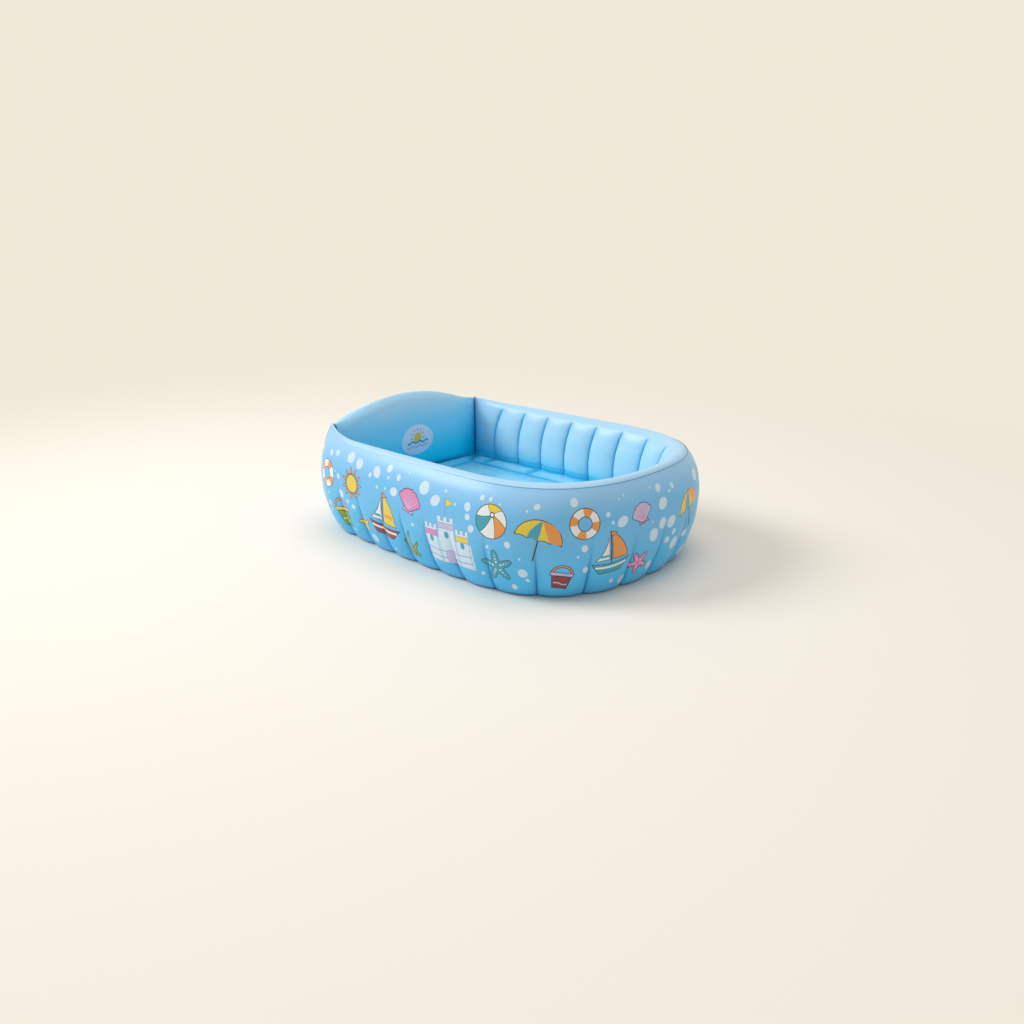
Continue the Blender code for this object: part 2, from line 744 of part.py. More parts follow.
def add_floor_webs(material):
    low = FILM + WEB_CLEARANCE
    high = FLOOR_HEIGHT - WEB_CLEARANCE - FILM
    loop = spread(BORDER, PITCH / 2)[:-1]
    rows = [np.column_stack([loop, np.full(len(loop), height)]) for height in (low, high)]
    film("floor_border_web", rows, material("floor_web"), closed=True)
    for name, (start, end) in zip(("floor_web_near", "floor_web_far"), channel_seams()):
        setback = FILM + 2 * WEB_CLEARANCE
        reach = (end[0] - start[0]) - setback
        outline = [(setback, low), (reach - setback, low), (reach - setback, high), (setback, high)]
        plate(name, outline, np.array(start), np.array([1.0, 0.0]), material("floor_web"))


# Turned and folded fittings, each made about its own upright axis


def turned(name, profile, material, parent, place, solid=False):
    """A piece turned from (radius, height) points: a closed ring of them, or a solid's side."""
    mesh = bpy.data.meshes.new(name)
    built = bmesh.new()
    rings = []
    for radius, height in profile:
        plan = circle((0, 0), radius, TURN_SEGMENTS)
        rings.append([built.verts.new((*spot, height)) for spot in plan])
    pairs = list(zip(rings, rings[1:]))
    if solid:
        built.faces.new(rings[0])
        built.faces.new(rings[-1])
    else:
        pairs.append((rings[-1], rings[0]))
    for low, high in pairs:
        for k in range(TURN_SEGMENTS):
            after = (k + 1) % TURN_SEGMENTS
            built.faces.new((low[k], low[after], high[after], high[k]))
    bmesh.ops.recalc_face_normals(built, faces=built.faces)
    built.to_mesh(mesh)
    built.free()
    smooth(mesh)
    made = add_object(name, mesh, material, parent)
    made.location = place
    return made


def strap(name, route, width, thickness, material, parent):
    """A flat strap that follows a route of (outward, up) points."""
    route = np.array(route)
    ahead = np.gradient(route, axis=0)
    ahead /= np.linalg.norm(ahead, axis=1)[:, None]
    aside = np.column_stack([-ahead[:, 1], ahead[:, 0]]) * thickness / 2
    outline = np.concatenate([route + aside, (route - aside)[::-1]])
    mesh = bpy.data.meshes.new(name)
    built = bmesh.new()
    rings = [[built.verts.new((x, side * width / 2, z)) for x, z in outline] for side in (-1, 1)]
    count = len(outline)
    half = len(route)
    for ring in rings:
        for k in range(half - 1):
            built.faces.new((ring[k], ring[k + 1], ring[count - 2 - k], ring[count - 1 - k]))
    for k in range(count):
        after = (k + 1) % count
        built.faces.new((rings[0][k], rings[1][k], rings[1][after], rings[0][after]))
    bmesh.ops.recalc_face_normals(built, faces=built.faces)
    built.to_mesh(mesh)
    built.free()
    smooth(mesh)
    return add_object(name, mesh, material, parent)


def axis_empty(name, origin, outward, sideways):
    """An empty whose Z runs out of the film along a fitting's axis and whose X is the strap's side."""
    outward, sideways = Vector(outward).normalized(), Vector(sideways)
    sideways = (sideways - outward * sideways.dot(outward)).normalized()
    turned_to = Matrix((sideways, outward.cross(sideways), outward)).transposed().to_4x4()
    made = bpy.data.objects.new(name, None)
    made.matrix_world = Matrix.Translation(origin) @ turned_to
    made.empty_display_size = VALVE_FLANGE_RADIUS
    bpy.context.scene.collection.objects.link(made)
    return made


def add_valve(place, prefix, material):
    seat_top = WELD_GAP + VALVE_FLANGE_THICKNESS
    throat = THROAT_RADIUS + THROAT_WALL
    seat = [
        (THROAT_RADIUS, -THROAT_DEPTH),
        (throat, -THROAT_DEPTH),
        (throat, WELD_GAP),
        (VALVE_FLANGE_RADIUS, WELD_GAP),
        (VALVE_FLANGE_RADIUS, seat_top - FLANGE_BEVEL),
        (VALVE_FLANGE_RADIUS - FLANGE_BEVEL, seat_top),
        (THROAT_RADIUS, seat_top),
    ]
    turned(f"{prefix}_valve_seat", seat, material("valve_seat"), place, (0, 0, 0))
    collar = seat_top + RUNNING_GAP
    collar_top = collar + STEM_COLLAR_THICKNESS
    lip_top = -THROAT_DEPTH - STEM_TRAVEL - RUNNING_GAP
    lip = lip_top - STEM_LIP_THICKNESS
    shaft = THROAT_RADIUS - RUNNING_GAP
    stem = [
        (STEM_BORE_RADIUS, lip),
        (throat, lip),
        (throat, lip_top),
        (shaft, lip_top),
        (shaft, collar),
        (STEM_COLLAR_RADIUS, collar),
        (STEM_COLLAR_RADIUS, collar_top - RUNNING_GAP),
        (STEM_COLLAR_RADIUS - RUNNING_GAP, collar_top),
        (STEM_BORE_RADIUS, collar_top),
    ]
    turned(f"{prefix}_valve_stem", stem, material("valve_stem"), place, (0, 0, 0))
    half_flap = FLAP_THICKNESS / 2
    hinge = lip - RUNNING_GAP - half_flap
    flap = [(FLAP_RADIUS, -half_flap), (FLAP_RADIUS, half_flap)]
    hinge_place = (FLAP_RADIUS, 0, hinge)
    made = turned(f"{prefix}_valve_flap", flap, material("valve_flap"), place, hinge_place, solid=True)
    made.data.transform(Matrix.Translation((-FLAP_RADIUS, 0, 0)))
    head = collar_top + RUNNING_GAP
    head_top = head + PLUG_HEAD_THICKNESS
    shank = STEM_BORE_RADIUS - RUNNING_GAP
    plug = [
        (shank - PLUG_BEVEL, head - PLUG_SHANK_LENGTH),
        (shank, head - PLUG_SHANK_LENGTH + PLUG_BEVEL),
        (shank, head),
        (PLUG_HEAD_RADIUS, head),
        (PLUG_HEAD_RADIUS, head_top - PLUG_BEVEL),
        (PLUG_HEAD_RADIUS - PLUG_BEVEL, head_top),
    ]
    turned(f"{prefix}_valve_plug", plug, material("valve_plug"), place, (0, 0, 0), solid=True)
    low_run = collar + STEM_COLLAR_THICKNESS / 2
    high_run = head + PLUG_HEAD_THICKNESS / 2
    bend = STRAP_REACH - STRAP_BEND
    route = [
        (STEM_COLLAR_RADIUS + RUNNING_GAP, low_run),
        (bend, low_run),
        (STRAP_REACH, (low_run + high_run) / 2),
        (bend, high_run),
        (PLUG_HEAD_RADIUS + RUNNING_GAP, high_run),
    ]
    strap(f"{prefix}_valve_strap", route, STRAP_WIDTH, STRAP_THICKNESS, material("valve_strap"), place)


def valve_cutter(place, name):
    """A rod through the film where a valve's throat passes."""
    depth = THROAT_DEPTH
    rod = [(valve_hole_radius(), -depth), (valve_hole_radius(), depth)]
    made = turned(name, rod, plastic(name, (1, 1, 1), 1), place, (0, 0, 0), solid=True)
    made.hide_render = True
    made.display_type = "WIRE"
    return made


def add_valves(outer_film, material):
    skin = FILM / 2
    columns = side_columns()
    after = columns.searchsorted(PANELS - WALL_VALVE_PANEL - 1 / 2)
    pair = side_stations(columns[after - 1 : after + 1]).outside
    along = pair[1] - pair[0]
    outward = Vector((along[1], -along[0], 0)).normalized()
    where = Vector((*pair.mean(axis=0), VALVE_HEIGHT)) + outward * skin
    wall = axis_empty("wall_valve_axis", where, outward, (1, 0, 0))
    where = (-TUB_LENGTH / 2 - skin, 0, VALVE_HEIGHT)
    back = axis_empty("backrest_valve_axis", where, (-1, 0, 0), (0, 1, 0))
    top = FLOOR_HEIGHT + CHANNEL_CROWN + skin
    floor = axis_empty("floor_valve_axis", (FLOOR_VALVE_X, FLOOR_VALVE_Y, top), (0, 0, 1), (1, 0, 0))
    for place, prefix in ((wall, "wall"), (back, "backrest"), (floor, "floor")):
        add_valve(place, prefix, material)
    for place, prefix in ((wall, "wall"), (back, "backrest")):
        cut(outer_film, valve_cutter(place, f"{prefix}_valve_hole"), f"{prefix} valve")


def add_drain(material):
    """A socket welded to both films of the floor, and the plug that closes its top, held by a strap."""
    top = FLOOR_HEIGHT + CHANNEL_CROWN + FILM / 2
    place = axis_empty("drain_axis", (DRAIN_X, DRAIN_Y, top), (0, 0, 1), (-1, 0, 0))
    foot = FILM + WELD_GAP - top
    bore = DRAIN_BORE_RADIUS
    tube = bore + DRAIN_TUBE_WALL
    flange = DRAIN_FLANGE_RADIUS
    seat_top = WELD_GAP + DRAIN_FLANGE_THICKNESS
    socket = [
        (bore, foot),
        (flange, foot),
        (flange, foot + DRAIN_FLANGE_THICKNESS),
        (tube, foot + DRAIN_FLANGE_THICKNESS),
        (tube, WELD_GAP),
        (flange, WELD_GAP),
        (flange, seat_top - FLANGE_BEVEL),
        (flange - FLANGE_BEVEL, seat_top),
        (bore, seat_top),
    ]
    turned("drain_socket", socket, material("drain_socket"), place, (0, 0, 0))
    head = seat_top + RUNNING_GAP
    head_top = head + DRAIN_PLUG_HEAD_THICKNESS
    shank = bore - RUNNING_GAP
    plug = [
        (shank - PLUG_BEVEL, head - DRAIN_PLUG_SHANK_LENGTH),
        (shank, head - DRAIN_PLUG_SHANK_LENGTH + PLUG_BEVEL),
        (shank, head),
        (DRAIN_PLUG_HEAD_RADIUS, head),
        (DRAIN_PLUG_HEAD_RADIUS, head_top - PLUG_BEVEL),
        (DRAIN_PLUG_HEAD_RADIUS - PLUG_BEVEL, head_top),
    ]
    turned("drain_plug", plug, material("drain_plug"), place, (0, 0, 0), solid=True)
    low_run = seat_top + RUNNING_GAP + STRAP_THICKNESS / 2
    high_run = head_top - DRAIN_STRAP_DROP
    bend = DRAIN_STRAP_REACH - STRAP_BEND
    route = [
        (DRAIN_STRAP_START, low_run),
        (bend, low_run),
        (DRAIN_STRAP_REACH, (low_run + high_run) / 2),
        (bend, high_run),
        (DRAIN_PLUG_HEAD_RADIUS + RUNNING_GAP, high_run),
    ]
    strap("drain_strap", route, STRAP_WIDTH, STRAP_THICKNESS, material("drain_strap"), place)


def build():
    clear_scene()
    colours = {
        "outer_film": ((0.20, 0.50, 0.78), 0.30),
        "rim_film": ((0.30, 0.62, 0.86), 0.28),
        "backrest_film": ((0.16, 0.52, 0.80), 0.30),
        "corner_divider_near": ((0.10, 0.42, 0.72), 0.35),
        "corner_divider_far": ((0.10, 0.42, 0.72), 0.35),
        "floor_top_film": ((0.28, 0.66, 0.86), 0.28),
        "floor_bottom_film": ((0.24, 0.55, 0.80), 0.40),
        "wall_web": ((0.55, 0.75, 0.88), 0.40),
        "floor_web": ((0.55, 0.75, 0.88), 0.40),
        "valve_seat": ((0.72, 0.84, 0.90), 0.30),
        "valve_stem": ((0.72, 0.84, 0.90), 0.30),
        "valve_flap": ((0.60, 0.75, 0.84), 0.40),
        "valve_plug": ((0.78, 0.88, 0.93), 0.30),
        "valve_strap": ((0.78, 0.88, 0.93), 0.30),
        "drain_socket": ((0.80, 0.85, 0.88), 0.35),
        "drain_plug": ((0.85, 0.88, 0.90), 0.35),
        "drain_strap": ((0.85, 0.88, 0.90), 0.35),
    }

    def material(name):
        return plastic(name, *colours[name])

    outer_film, stations = add_wall_films(material)
    add_dividers(material)
    add_wall_webs(material)
    add_floor(material, stations)
    add_floor_webs(material)
    add_valves(outer_film, material)
    add_drain(material)


build()
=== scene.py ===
"""Inflatable baby bathtub, blown up ready for use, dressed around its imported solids.

Printed and plain PVC films are welded into a grooved air wall, a raised backrest pillow and a quilted
air floor. Lengths are in metres. The head end is at -X and +Z is up.
"""

import math
import random

import bmesh
import bpy
import numpy as np
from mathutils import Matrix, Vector
from mathutils.geometry import delaunay_2d_cdt


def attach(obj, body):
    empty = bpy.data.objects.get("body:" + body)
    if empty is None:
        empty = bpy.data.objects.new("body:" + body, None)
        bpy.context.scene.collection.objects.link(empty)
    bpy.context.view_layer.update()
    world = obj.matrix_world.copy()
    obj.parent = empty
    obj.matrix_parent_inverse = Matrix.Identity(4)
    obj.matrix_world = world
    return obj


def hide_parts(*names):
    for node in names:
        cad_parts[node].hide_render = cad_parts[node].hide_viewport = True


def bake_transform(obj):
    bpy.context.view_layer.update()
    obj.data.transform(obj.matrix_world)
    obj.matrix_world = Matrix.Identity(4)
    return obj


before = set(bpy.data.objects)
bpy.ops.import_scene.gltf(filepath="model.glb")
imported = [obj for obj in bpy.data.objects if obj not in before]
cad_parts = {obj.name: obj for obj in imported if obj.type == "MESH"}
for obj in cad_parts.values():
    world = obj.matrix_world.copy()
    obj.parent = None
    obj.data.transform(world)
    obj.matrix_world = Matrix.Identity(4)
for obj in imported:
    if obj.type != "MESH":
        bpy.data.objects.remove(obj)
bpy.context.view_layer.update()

# The ring of the wall. The films are cut flat and welded along shared lines, so all films of the wall follow
# the same two lines in plan: the widest line outside and the floor line inside. Upright webs, welded across
# between them, part the wall into panels that bulge between sharp creases.

TUB_LENGTH = 0.876
TUB_WIDTH = 0.650
WALL_THICKNESS = 0.083
FOOT_LENGTH = 0.307
FOOT_POWER = 2.4
HEAD_CORNER_RADIUS = 0.130
HEAD_NARROWING = 0.052
EAR_TURN = math.radians(58)
INNER_CORNER_DEPTH = 0.086
BACKREST_BOW = 0.016
WEBS_A_SIDE = 10
FOOT_START = TUB_LENGTH / 2 - FOOT_LENGTH
FLOOR_HALF_WIDTH = TUB_WIDTH / 2 - WALL_THICKNESS
A_STEP = 0.001
# Across a panel: how much of the crease's depth is the panel's own bulge, its power, and the slit's width
BULGE_SHARE = 0.76
BULGE_POWER = 2.4
SLIT_WIDTH = 0.0018
# How far the ears' own form reaches: in panels along the sides, and as a share of the head end
EAR_PANELS = 1.25
EAR_HEAD_SHARE = 0.11


def unit(vectors):
    """Each vector at length 1."""
    return vectors / np.maximum(np.linalg.norm(vectors, axis=-1, keepdims=True), 1e-12)


def beside(line):
    """The direction to the left of a flat line, at each of its points."""
    ahead = unit(np.gradient(np.asarray(line, float), axis=0))
    return np.column_stack([-ahead[:, 1], ahead[:, 0]])


class Outline:
    """A line, read by distance along it."""

    def __init__(self, points):
        self.points = np.array(points, float)
        steps = np.linalg.norm(np.diff(self.points, axis=0), axis=1)
        self.marks = np.concatenate([[0], np.cumsum(steps)])
        self.length = self.marks[-1]

    def at(self, distances):
        return np.column_stack([np.interp(distances, self.marks, axis) for axis in self.points.T])


def mirrored(half):
    return np.concatenate([half, half[-2::-1] * (1, -1)])


def foot_end(length, half_width):
    turn = np.linspace(0, math.pi / 2, 200)
    x = FOOT_START + length * np.sin(turn) ** (2 / FOOT_POWER)
    y = -half_width * np.cos(turn) ** (2 / FOOT_POWER)
    y[-1] = 0
    return np.column_stack([x, y])


def outer_outline():
    head, half, radius = -TUB_LENGTH / 2, TUB_WIDTH / 2, HEAD_CORNER_RADIUS
    turn = np.linspace(0, math.pi / 2, 80)
    corner = np.column_stack([head + radius * (1 - np.cos(turn)), radius * (1 - np.sin(turn)) - half])
    sides = np.linspace(head + radius, FOOT_START, 80)[1:-1]
    straight = np.column_stack([sides, np.full(len(sides), -half)])
    line = np.concatenate([[(head, 0)], corner, straight, foot_end(FOOT_LENGTH, half)])
    towards_head = np.clip((FOOT_START - line[:, 0]) / (TUB_LENGTH - FOOT_LENGTH), 0, 1)
    line[:, 1] *= 1 - HEAD_NARROWING / half * towards_head**2
    outline = Outline(mirrored(line))
    return outline, np.interp(EAR_TURN, turn, outline.marks[1 : len(turn) + 1])


OUTER, NEAR_EAR = outer_outline()
inner_foot = foot_end(FOOT_LENGTH - WALL_THICKNESS, FLOOR_HALF_WIDTH)
inner_corner = [(INNER_CORNER_DEPTH - TUB_LENGTH / 2, -FLOOR_HALF_WIDTH)]
INNER = Outline(mirrored(np.concatenate([inner_corner, inner_foot])))
PANELS = 2 * (WEBS_A_SIDE + 1)
PITCH = INNER.length / PANELS


def web_marks_outside():
    """Distances along the outer line that lie straight across the wall from the webs."""
    marks = [NEAR_EAR]
    for web in range(1, WEBS_A_SIDE + 1):
        here = INNER.at([PITCH * web])[0]
        ahead, behind = INNER.at([PITCH * web + A_STEP, PITCH * web - A_STEP])
        along = unit(ahead - behind)
        reach = OUTER.points - here
        off = reach @ along
        outward = reach @ (along[1], -along[0]) > 0
        crossing = [k for k in range(len(off) - 1) if off[k] < 0 <= off[k + 1] and outward[k]][-1]
        share = -off[crossing] / (off[crossing + 1] - off[crossing])
        marks.append(OUTER.marks[crossing] + share * (OUTER.marks[crossing + 1] - OUTER.marks[crossing]))
    marks = np.array(marks)
    return np.concatenate([marks, [OUTER.length / 2], OUTER.length - marks[::-1]])


WEB_MARKS_OUTSIDE = web_marks_outside()


def crease(share):
    """How far in a panel is drawn, by its share from web to web: a broad bulge, then a narrow slit at each web."""
    from_web = np.minimum(share, 1 - share) * PITCH
    bulge = BULGE_SHARE * np.abs(2 * share - 1) ** BULGE_POWER
    return bulge + (1 - BULGE_SHARE) * np.exp(-from_web / SLIT_WIDTH)


class Stations:
    """Places round the wall: a point on each of the two lines, how drawn in it is and how near an ear."""

    def __init__(self, outside, inside, drawn, ear):
        self.outside, self.inside, self.drawn, self.ear = outside, inside, drawn, ear
        reach = inside - outside
        self.thickness = np.linalg.norm(reach, axis=1)
        self.across = reach / self.thickness[:, None]
        self.relief = np.minimum(self.thickness / WALL_THICKNESS, 1)

    def row(self, inset, height):
        plan = self.outside + self.across * np.broadcast_to(inset, len(self.outside))[:, None]
        return np.column_stack([plan, np.broadcast_to(height, len(plan))])


def near(distance, reach):
    """1 at the place itself, falling smoothly to 0 at the reach."""
    share = np.clip(1 - distance / reach, 0, 1)
    return share * share * (3 - 2 * share)


def side_stations(columns):
    """Stations by web number, with fractions, from the near ear to the far ear."""
    columns = np.clip(columns, 0, PANELS)
    outside = OUTER.at(np.interp(columns, np.arange(PANELS + 1), WEB_MARKS_OUTSIDE))
    from_ear = np.minimum(columns, PANELS - columns)
    drawn = crease(columns - np.floor(columns)) * (from_ear > 0.5)
    return Stations(outside, INNER.at(PITCH * columns), drawn, near(from_ear, EAR_PANELS))


def head_stations(columns):
    """Stations across the head end, from 0 at the far ear to 1 at the near ear."""
    outside = OUTER.at(NEAR_EAR * (2 * columns - 1) % OUTER.length)
    side = 1 - 2 * columns
    x = INNER_CORNER_DEPTH - TUB_LENGTH / 2 - BACKREST_BOW * (1 - side**2)
    inside = np.column_stack([x, FLOOR_HALF_WIDTH * side])
    ear = near(np.minimum(columns, 1 - columns), EAR_HEAD_SHARE)
    return Stations(outside, inside, np.zeros(len(side)), ear)


def through(rows, marks, heights):
    """A smooth section through rows of points: each column is read at its own distance up the section."""
    rows, marks = np.array(rows), np.array(marks)
    slopes = np.gradient(rows, marks, axis=0)
    low = np.clip(np.searchsorted(marks, heights, side="right") - 1, 0, len(marks) - 2)
    every = np.arange(rows.shape[1])
    span = (marks[low + 1] - marks[low])[:, None]
    t = (heights - marks[low])[:, None] / span
    held = (2 * t**3 - 3 * t**2 + 1) * rows[low, every] + (t**3 - 2 * t**2 + t) * span * slopes[low, every]
    return held + (3 * t**2 - 2 * t**3) * rows[low + 1, every] + (t**3 - t**2) * span * slopes[low + 1, every]


def section_marks(rows):
    """Distances up the section that the first station's points give."""
    return Outline([row[0] for row in rows]).marks


MIDDLE_OF_A_PANEL = side_stations(np.array([3.5]))
EAR = side_stations(np.array([0.0, PANELS]))


# The print: the outer film is printed while it is flat, with pale bubbles and bright seaside things that
# have dark outlines. Each motif is drawn here as flat shapes, laid one over another.

INKS = {
    "film": None,
    "outline": (0.030, 0.028, 0.035),
    "white": (0.80, 0.86, 0.90),
    "yellow": (0.78, 0.60, 0.045),
    "teal": (0.035, 0.36, 0.50),
    "green": (0.16, 0.33, 0.035),
    "orange": (0.80, 0.31, 0.060),
    "lilac": (0.55, 0.50, 0.78),
    "pink": (0.72, 0.22, 0.48),
    "maroon": (0.27, 0.030, 0.050),
    "bubble": (0.60, 0.78, 0.95),
    "bubble_edge": (0.36, 0.53, 0.74),
    "haze": (0.22, 0.36, 0.60),
}
INK_NAMES = list(INKS)
OUTLINE_WIDTH = 0.0017


def oval(wide, tall=None, x=0.0, y=0.0, count=30):
    turn = np.linspace(0, 2 * math.pi, count, endpoint=False)
    return np.column_stack([x + wide * np.cos(turn), y + (tall or wide) * np.sin(turn)])


def grown(shape, margin):
    """The shape with its edge moved outwards all round."""
    after = np.roll(shape, -1, axis=0)
    if (shape[:, 0] * after[:, 1] - after[:, 0] * shape[:, 1]).sum() < 0:
        margin = -margin
    ahead = unit(after - shape)
    out = np.column_stack([ahead[:, 1], -ahead[:, 0]])
    both = unit(out + np.roll(out, 1, axis=0))
    spare = np.clip((both * out).sum(axis=1), 0.55, 1)
    return shape + both * (margin / spare)[:, None]


def brushed(line, widths):
    """A stroke along a line, of one width or of a width at each point."""
    aside = beside(line) * np.broadcast_to(widths, len(line))[:, None] / 2
    return np.concatenate([line - aside, (line + aside)[::-1]])


def bowed(start, end, bow, count=12):
    """A line from start to end that bows to its left."""
    start, end = np.array(start, float), np.array(end, float)
    share = np.linspace(0, 1, count)[:, None]
    aside = np.array([start[1] - end[1], end[0] - start[0]])
    return start + (end - start) * share + aside * bow * 4 * share * (1 - share)


def edged(ink, shape, size):
    return [("outline", grown(shape, OUTLINE_WIDTH / size)), (ink, shape)]


def beach_ball(size):
    shapes = edged("white", oval(1), size)
    pole = np.array([0.26, 0.34])
    rims = [(math.cos(angle), math.sin(angle)) for angle in np.radians(np.arange(20, 400, 60))]
    lines = [bowed(pole, rim, 0.07) for rim in rims]
    for k, ink in ((0, "yellow"), (2, "teal"), (4, "orange")):
        turn = np.radians(np.linspace(20 + 60 * k, 80 + 60 * k, 9))
        arc = np.column_stack([np.cos(turn), np.sin(turn)])
        shapes.append((ink, np.concatenate([lines[k], arc[1:-1], lines[(k + 1) % 6][::-1]])))
    shapes += [("outline", brushed(line, 0.6 * OUTLINE_WIDTH / size)) for line in lines]
    return shapes + [("outline", oval(0.17, x=pole[0], y=pole[1])), ("white", oval(0.11, x=pole[0], y=pole[1]))]


def scallop_shell(size, ink="lilac", rib="pink"):
    angles = np.radians(np.linspace(-74, 74, 57))
    lobes = 0.93 + 0.08 * np.abs(np.sin(np.linspace(0, 7 * math.pi, 57)))
    fan = np.column_stack([np.sin(angles) * lobes, np.cos(angles) * lobes - 0.25])[::-1]
    hinge = np.array([(0.36, -0.42), (0.42, -0.66), (-0.42, -0.66), (-0.36, -0.42)])[::-1]
    shapes = edged(rib, hinge, size) + edged(ink, np.concatenate([fan, [(-0.17, -0.55), (0.17, -0.55)]]), size)
    for angle in np.radians(np.linspace(-74, 74, 8)[1:-1]):
        end = (math.sin(angle) * 0.86, math.cos(angle) * 0.86 - 0.25)
        line = bowed((math.sin(angle) * 0.12, -0.42), end, 0.02)
        shapes.append((rib, brushed(line, 0.9 * OUTLINE_WIDTH / size)))
    return shapes


def sea_star(size, ink="teal", speck="white"):
    turn = np.linspace(0, 2 * math.pi, 70, endpoint=False)
    reach = 0.40 + 0.60 * (0.5 + 0.5 * np.cos(5 * (turn - math.pi / 2))) ** 1.5
    star = np.column_stack([reach * np.cos(turn), reach * np.sin(turn)])
    shapes = edged(ink, star, size)
    for angle in np.radians(np.arange(90, 450, 72)):
        for out, dot in ((0.28, 0.062), (0.48, 0.048), (0.66, 0.034)):
            shapes.append((speck, oval(dot, x=out * math.cos(angle), y=out * math.sin(angle), count=10)))
    return shapes


def sailing_boat(size, hull_ink="maroon", sail_ink="yellow"):
    hull = np.concatenate([bowed((-0.55, -0.86), (0.50, -0.86), -0.02), bowed((0.95, -0.36), (-0.85, -0.36), 0.05)])
    sail = np.concatenate([bowed((0.08, -0.22), (0.80, -0.22), -0.03), bowed((0.80, -0.22), (0.08, 0.95), -0.10)[1:]])
    jib = np.concatenate([bowed((-0.09, 0.72), (-0.70, -0.22), 0.08), [(-0.09, -0.22)]])
    stripe = brushed(bowed((-0.72, -0.55), (0.76, -0.55), -0.04), 0.10)
    shapes = edged("white", jib, size) + edged(sail_ink, sail, size) + edged(hull_ink, hull, size)
    shapes += [("white", stripe), ("outline", brushed([(0, -0.40), (0, 0.3), (0, 1.02)], 1.6 * OUTLINE_WIDTH / size))]
    shapes.append(("orange", brushed([(0.10, 0.10), (0.38, 0.12), (0.64, 0.09)], 0.13)))
    shapes.append(("teal", brushed([(-0.50, -0.05), (-0.30, -0.04), (-0.11, -0.05)], 0.11)))
    return shapes + edged("orange", np.array([(0.03, 1.0), (0.30, 0.90), (0.03, 0.82)])[::-1], size)


def life_ring(size):
    shapes = edged("white", oval(1, count=40), size)
    for middle in (45, 135, 225, 315):
        turn = np.radians(np.linspace(middle - 21, middle + 21, 8))
        arc = np.column_stack([np.cos(turn), np.sin(turn)])
        shapes.append(("orange", np.concatenate([arc, arc[::-1] * 0.5])))
    return shapes + [("outline", oval(0.5)), ("film", oval(0.5 - OUTLINE_WIDTH / size))]


def bucket(size, ink="green", band="yellow"):
    body = np.array([(-0.48, -0.82), (0.48, -0.82), (0.66, 0.22), (-0.66, 0.22)])
    lip = np.array([(-0.74, 0.20), (0.74, 0.20), (0.76, 0.42), (-0.76, 0.42)])
    turn = np.linspace(0.12, math.pi - 0.12, 16)
    handle = np.column_stack([0.68 * np.cos(turn), 0.34 + 0.62 * np.sin(turn)])
    shapes = [("outline", brushed(handle, 0.10 + 2 * OUTLINE_WIDTH / size)), ("orange", brushed(handle, 0.09))]
    shapes += edged(ink, body, size) + edged(band, lip, size)
    waves = bowed((-0.48, -0.42), (0.0, -0.42), 0.14), bowed((0.0, -0.42), (0.48, -0.42), -0.14)
    return shapes + [(band, brushed(line, 0.10)) for line in waves]


def sun(size):
    shapes = []
    for k in range(11):
        turn = math.tau * k / 11
        tip, left, right = (
            (reach * math.cos(turn + aside), reach * math.sin(turn + aside))
            for reach, aside in ((1.0, 0), (0.66, 0.17), (0.66, -0.17))
        )
        shapes += edged("orange", np.array([tip, left, right]), size)
    return shapes + edged("yellow", oval(0.54), size)


def sea_grass(size):
    shapes = []
    for root, lean, height in ((-0.34, -0.20, 0.9), (0.30, 0.24, 1.0), (0.0, 0.02, 1.6)):
        up = np.linspace(0, 1, 16)
        line = np.column_stack([root + lean * up + 0.10 * np.sin(7 * up + 4 * root), -0.8 + height * up])
        leaf = brushed(line, 0.26 * np.sqrt(np.clip(1.02 - up, 0, 1)))
        shapes += edged("green", leaf, size)
        shapes.append(("yellow", brushed(line[1:-3], 0.035)))
    return shapes


def sand_castle(size):
    """A pale sand castle with notched walls, printed without dark outlines."""
    shapes = []

    def part(ink, points):
        shape = np.array(points, float)
        shapes.extend([("haze", grown(shape, 0.8 * OUTLINE_WIDTH / size)), (ink, shape)])

    def notched(ink, left, right, low, high, teeth):
        step = (right - left) / (2 * teeth - 1)
        top = [(left + k * step, high + 0.13 * (k % 2 == 0)) for k in range(2 * teeth - 1) for _ in (0, 1)]
        edge = [(x + step * (m % 2), y) for m, (x, y) in enumerate(top)]
        part(ink, [(left, low), (right, low), *edge[::-1]])

    notched("bubble", -1.0, 1.0, -0.8, -0.05, 8)
    for x, wide, high, band in ((-0.66, 0.25, 0.36, "pink"), (0.66, 0.25, 0.36, "yellow"), (0, 0.33, 0.66, "lilac")):
        left, right, low, top = x - wide, x + wide, high - 0.24, high - 0.08
        notched("bubble", left, right, -0.8, high, 3)
        part(band, [(left, low), (right, low), (right, top), (left, top)])
    part("yellow", [(0.0, 1.12), (0.34, 1.24), (0.0, 1.36)])
    shapes.append(("haze", brushed([(0, 0.78), (0, 1.0), (0, 1.38)], 0.045)))
    for low in (-0.58, -0.34):
        line = [(-0.96, low), (-0.5, low - 0.03), (0, low - 0.04), (0.5, low - 0.03), (0.96, low)]
        shapes.append(("haze", brushed(line, 0.032)))
    door = np.concatenate([[(-0.15, -0.8), (0.15, -0.8)], oval(0.15, 0.17, 0, -0.48)[:16]])
    part("lilac", door)
    for x, y in ((-0.66, 0.0), (0.66, 0.0), (0.0, 0.22)):
        part("teal", oval(0.07, 0.10, x, y, 16))
    return shapes


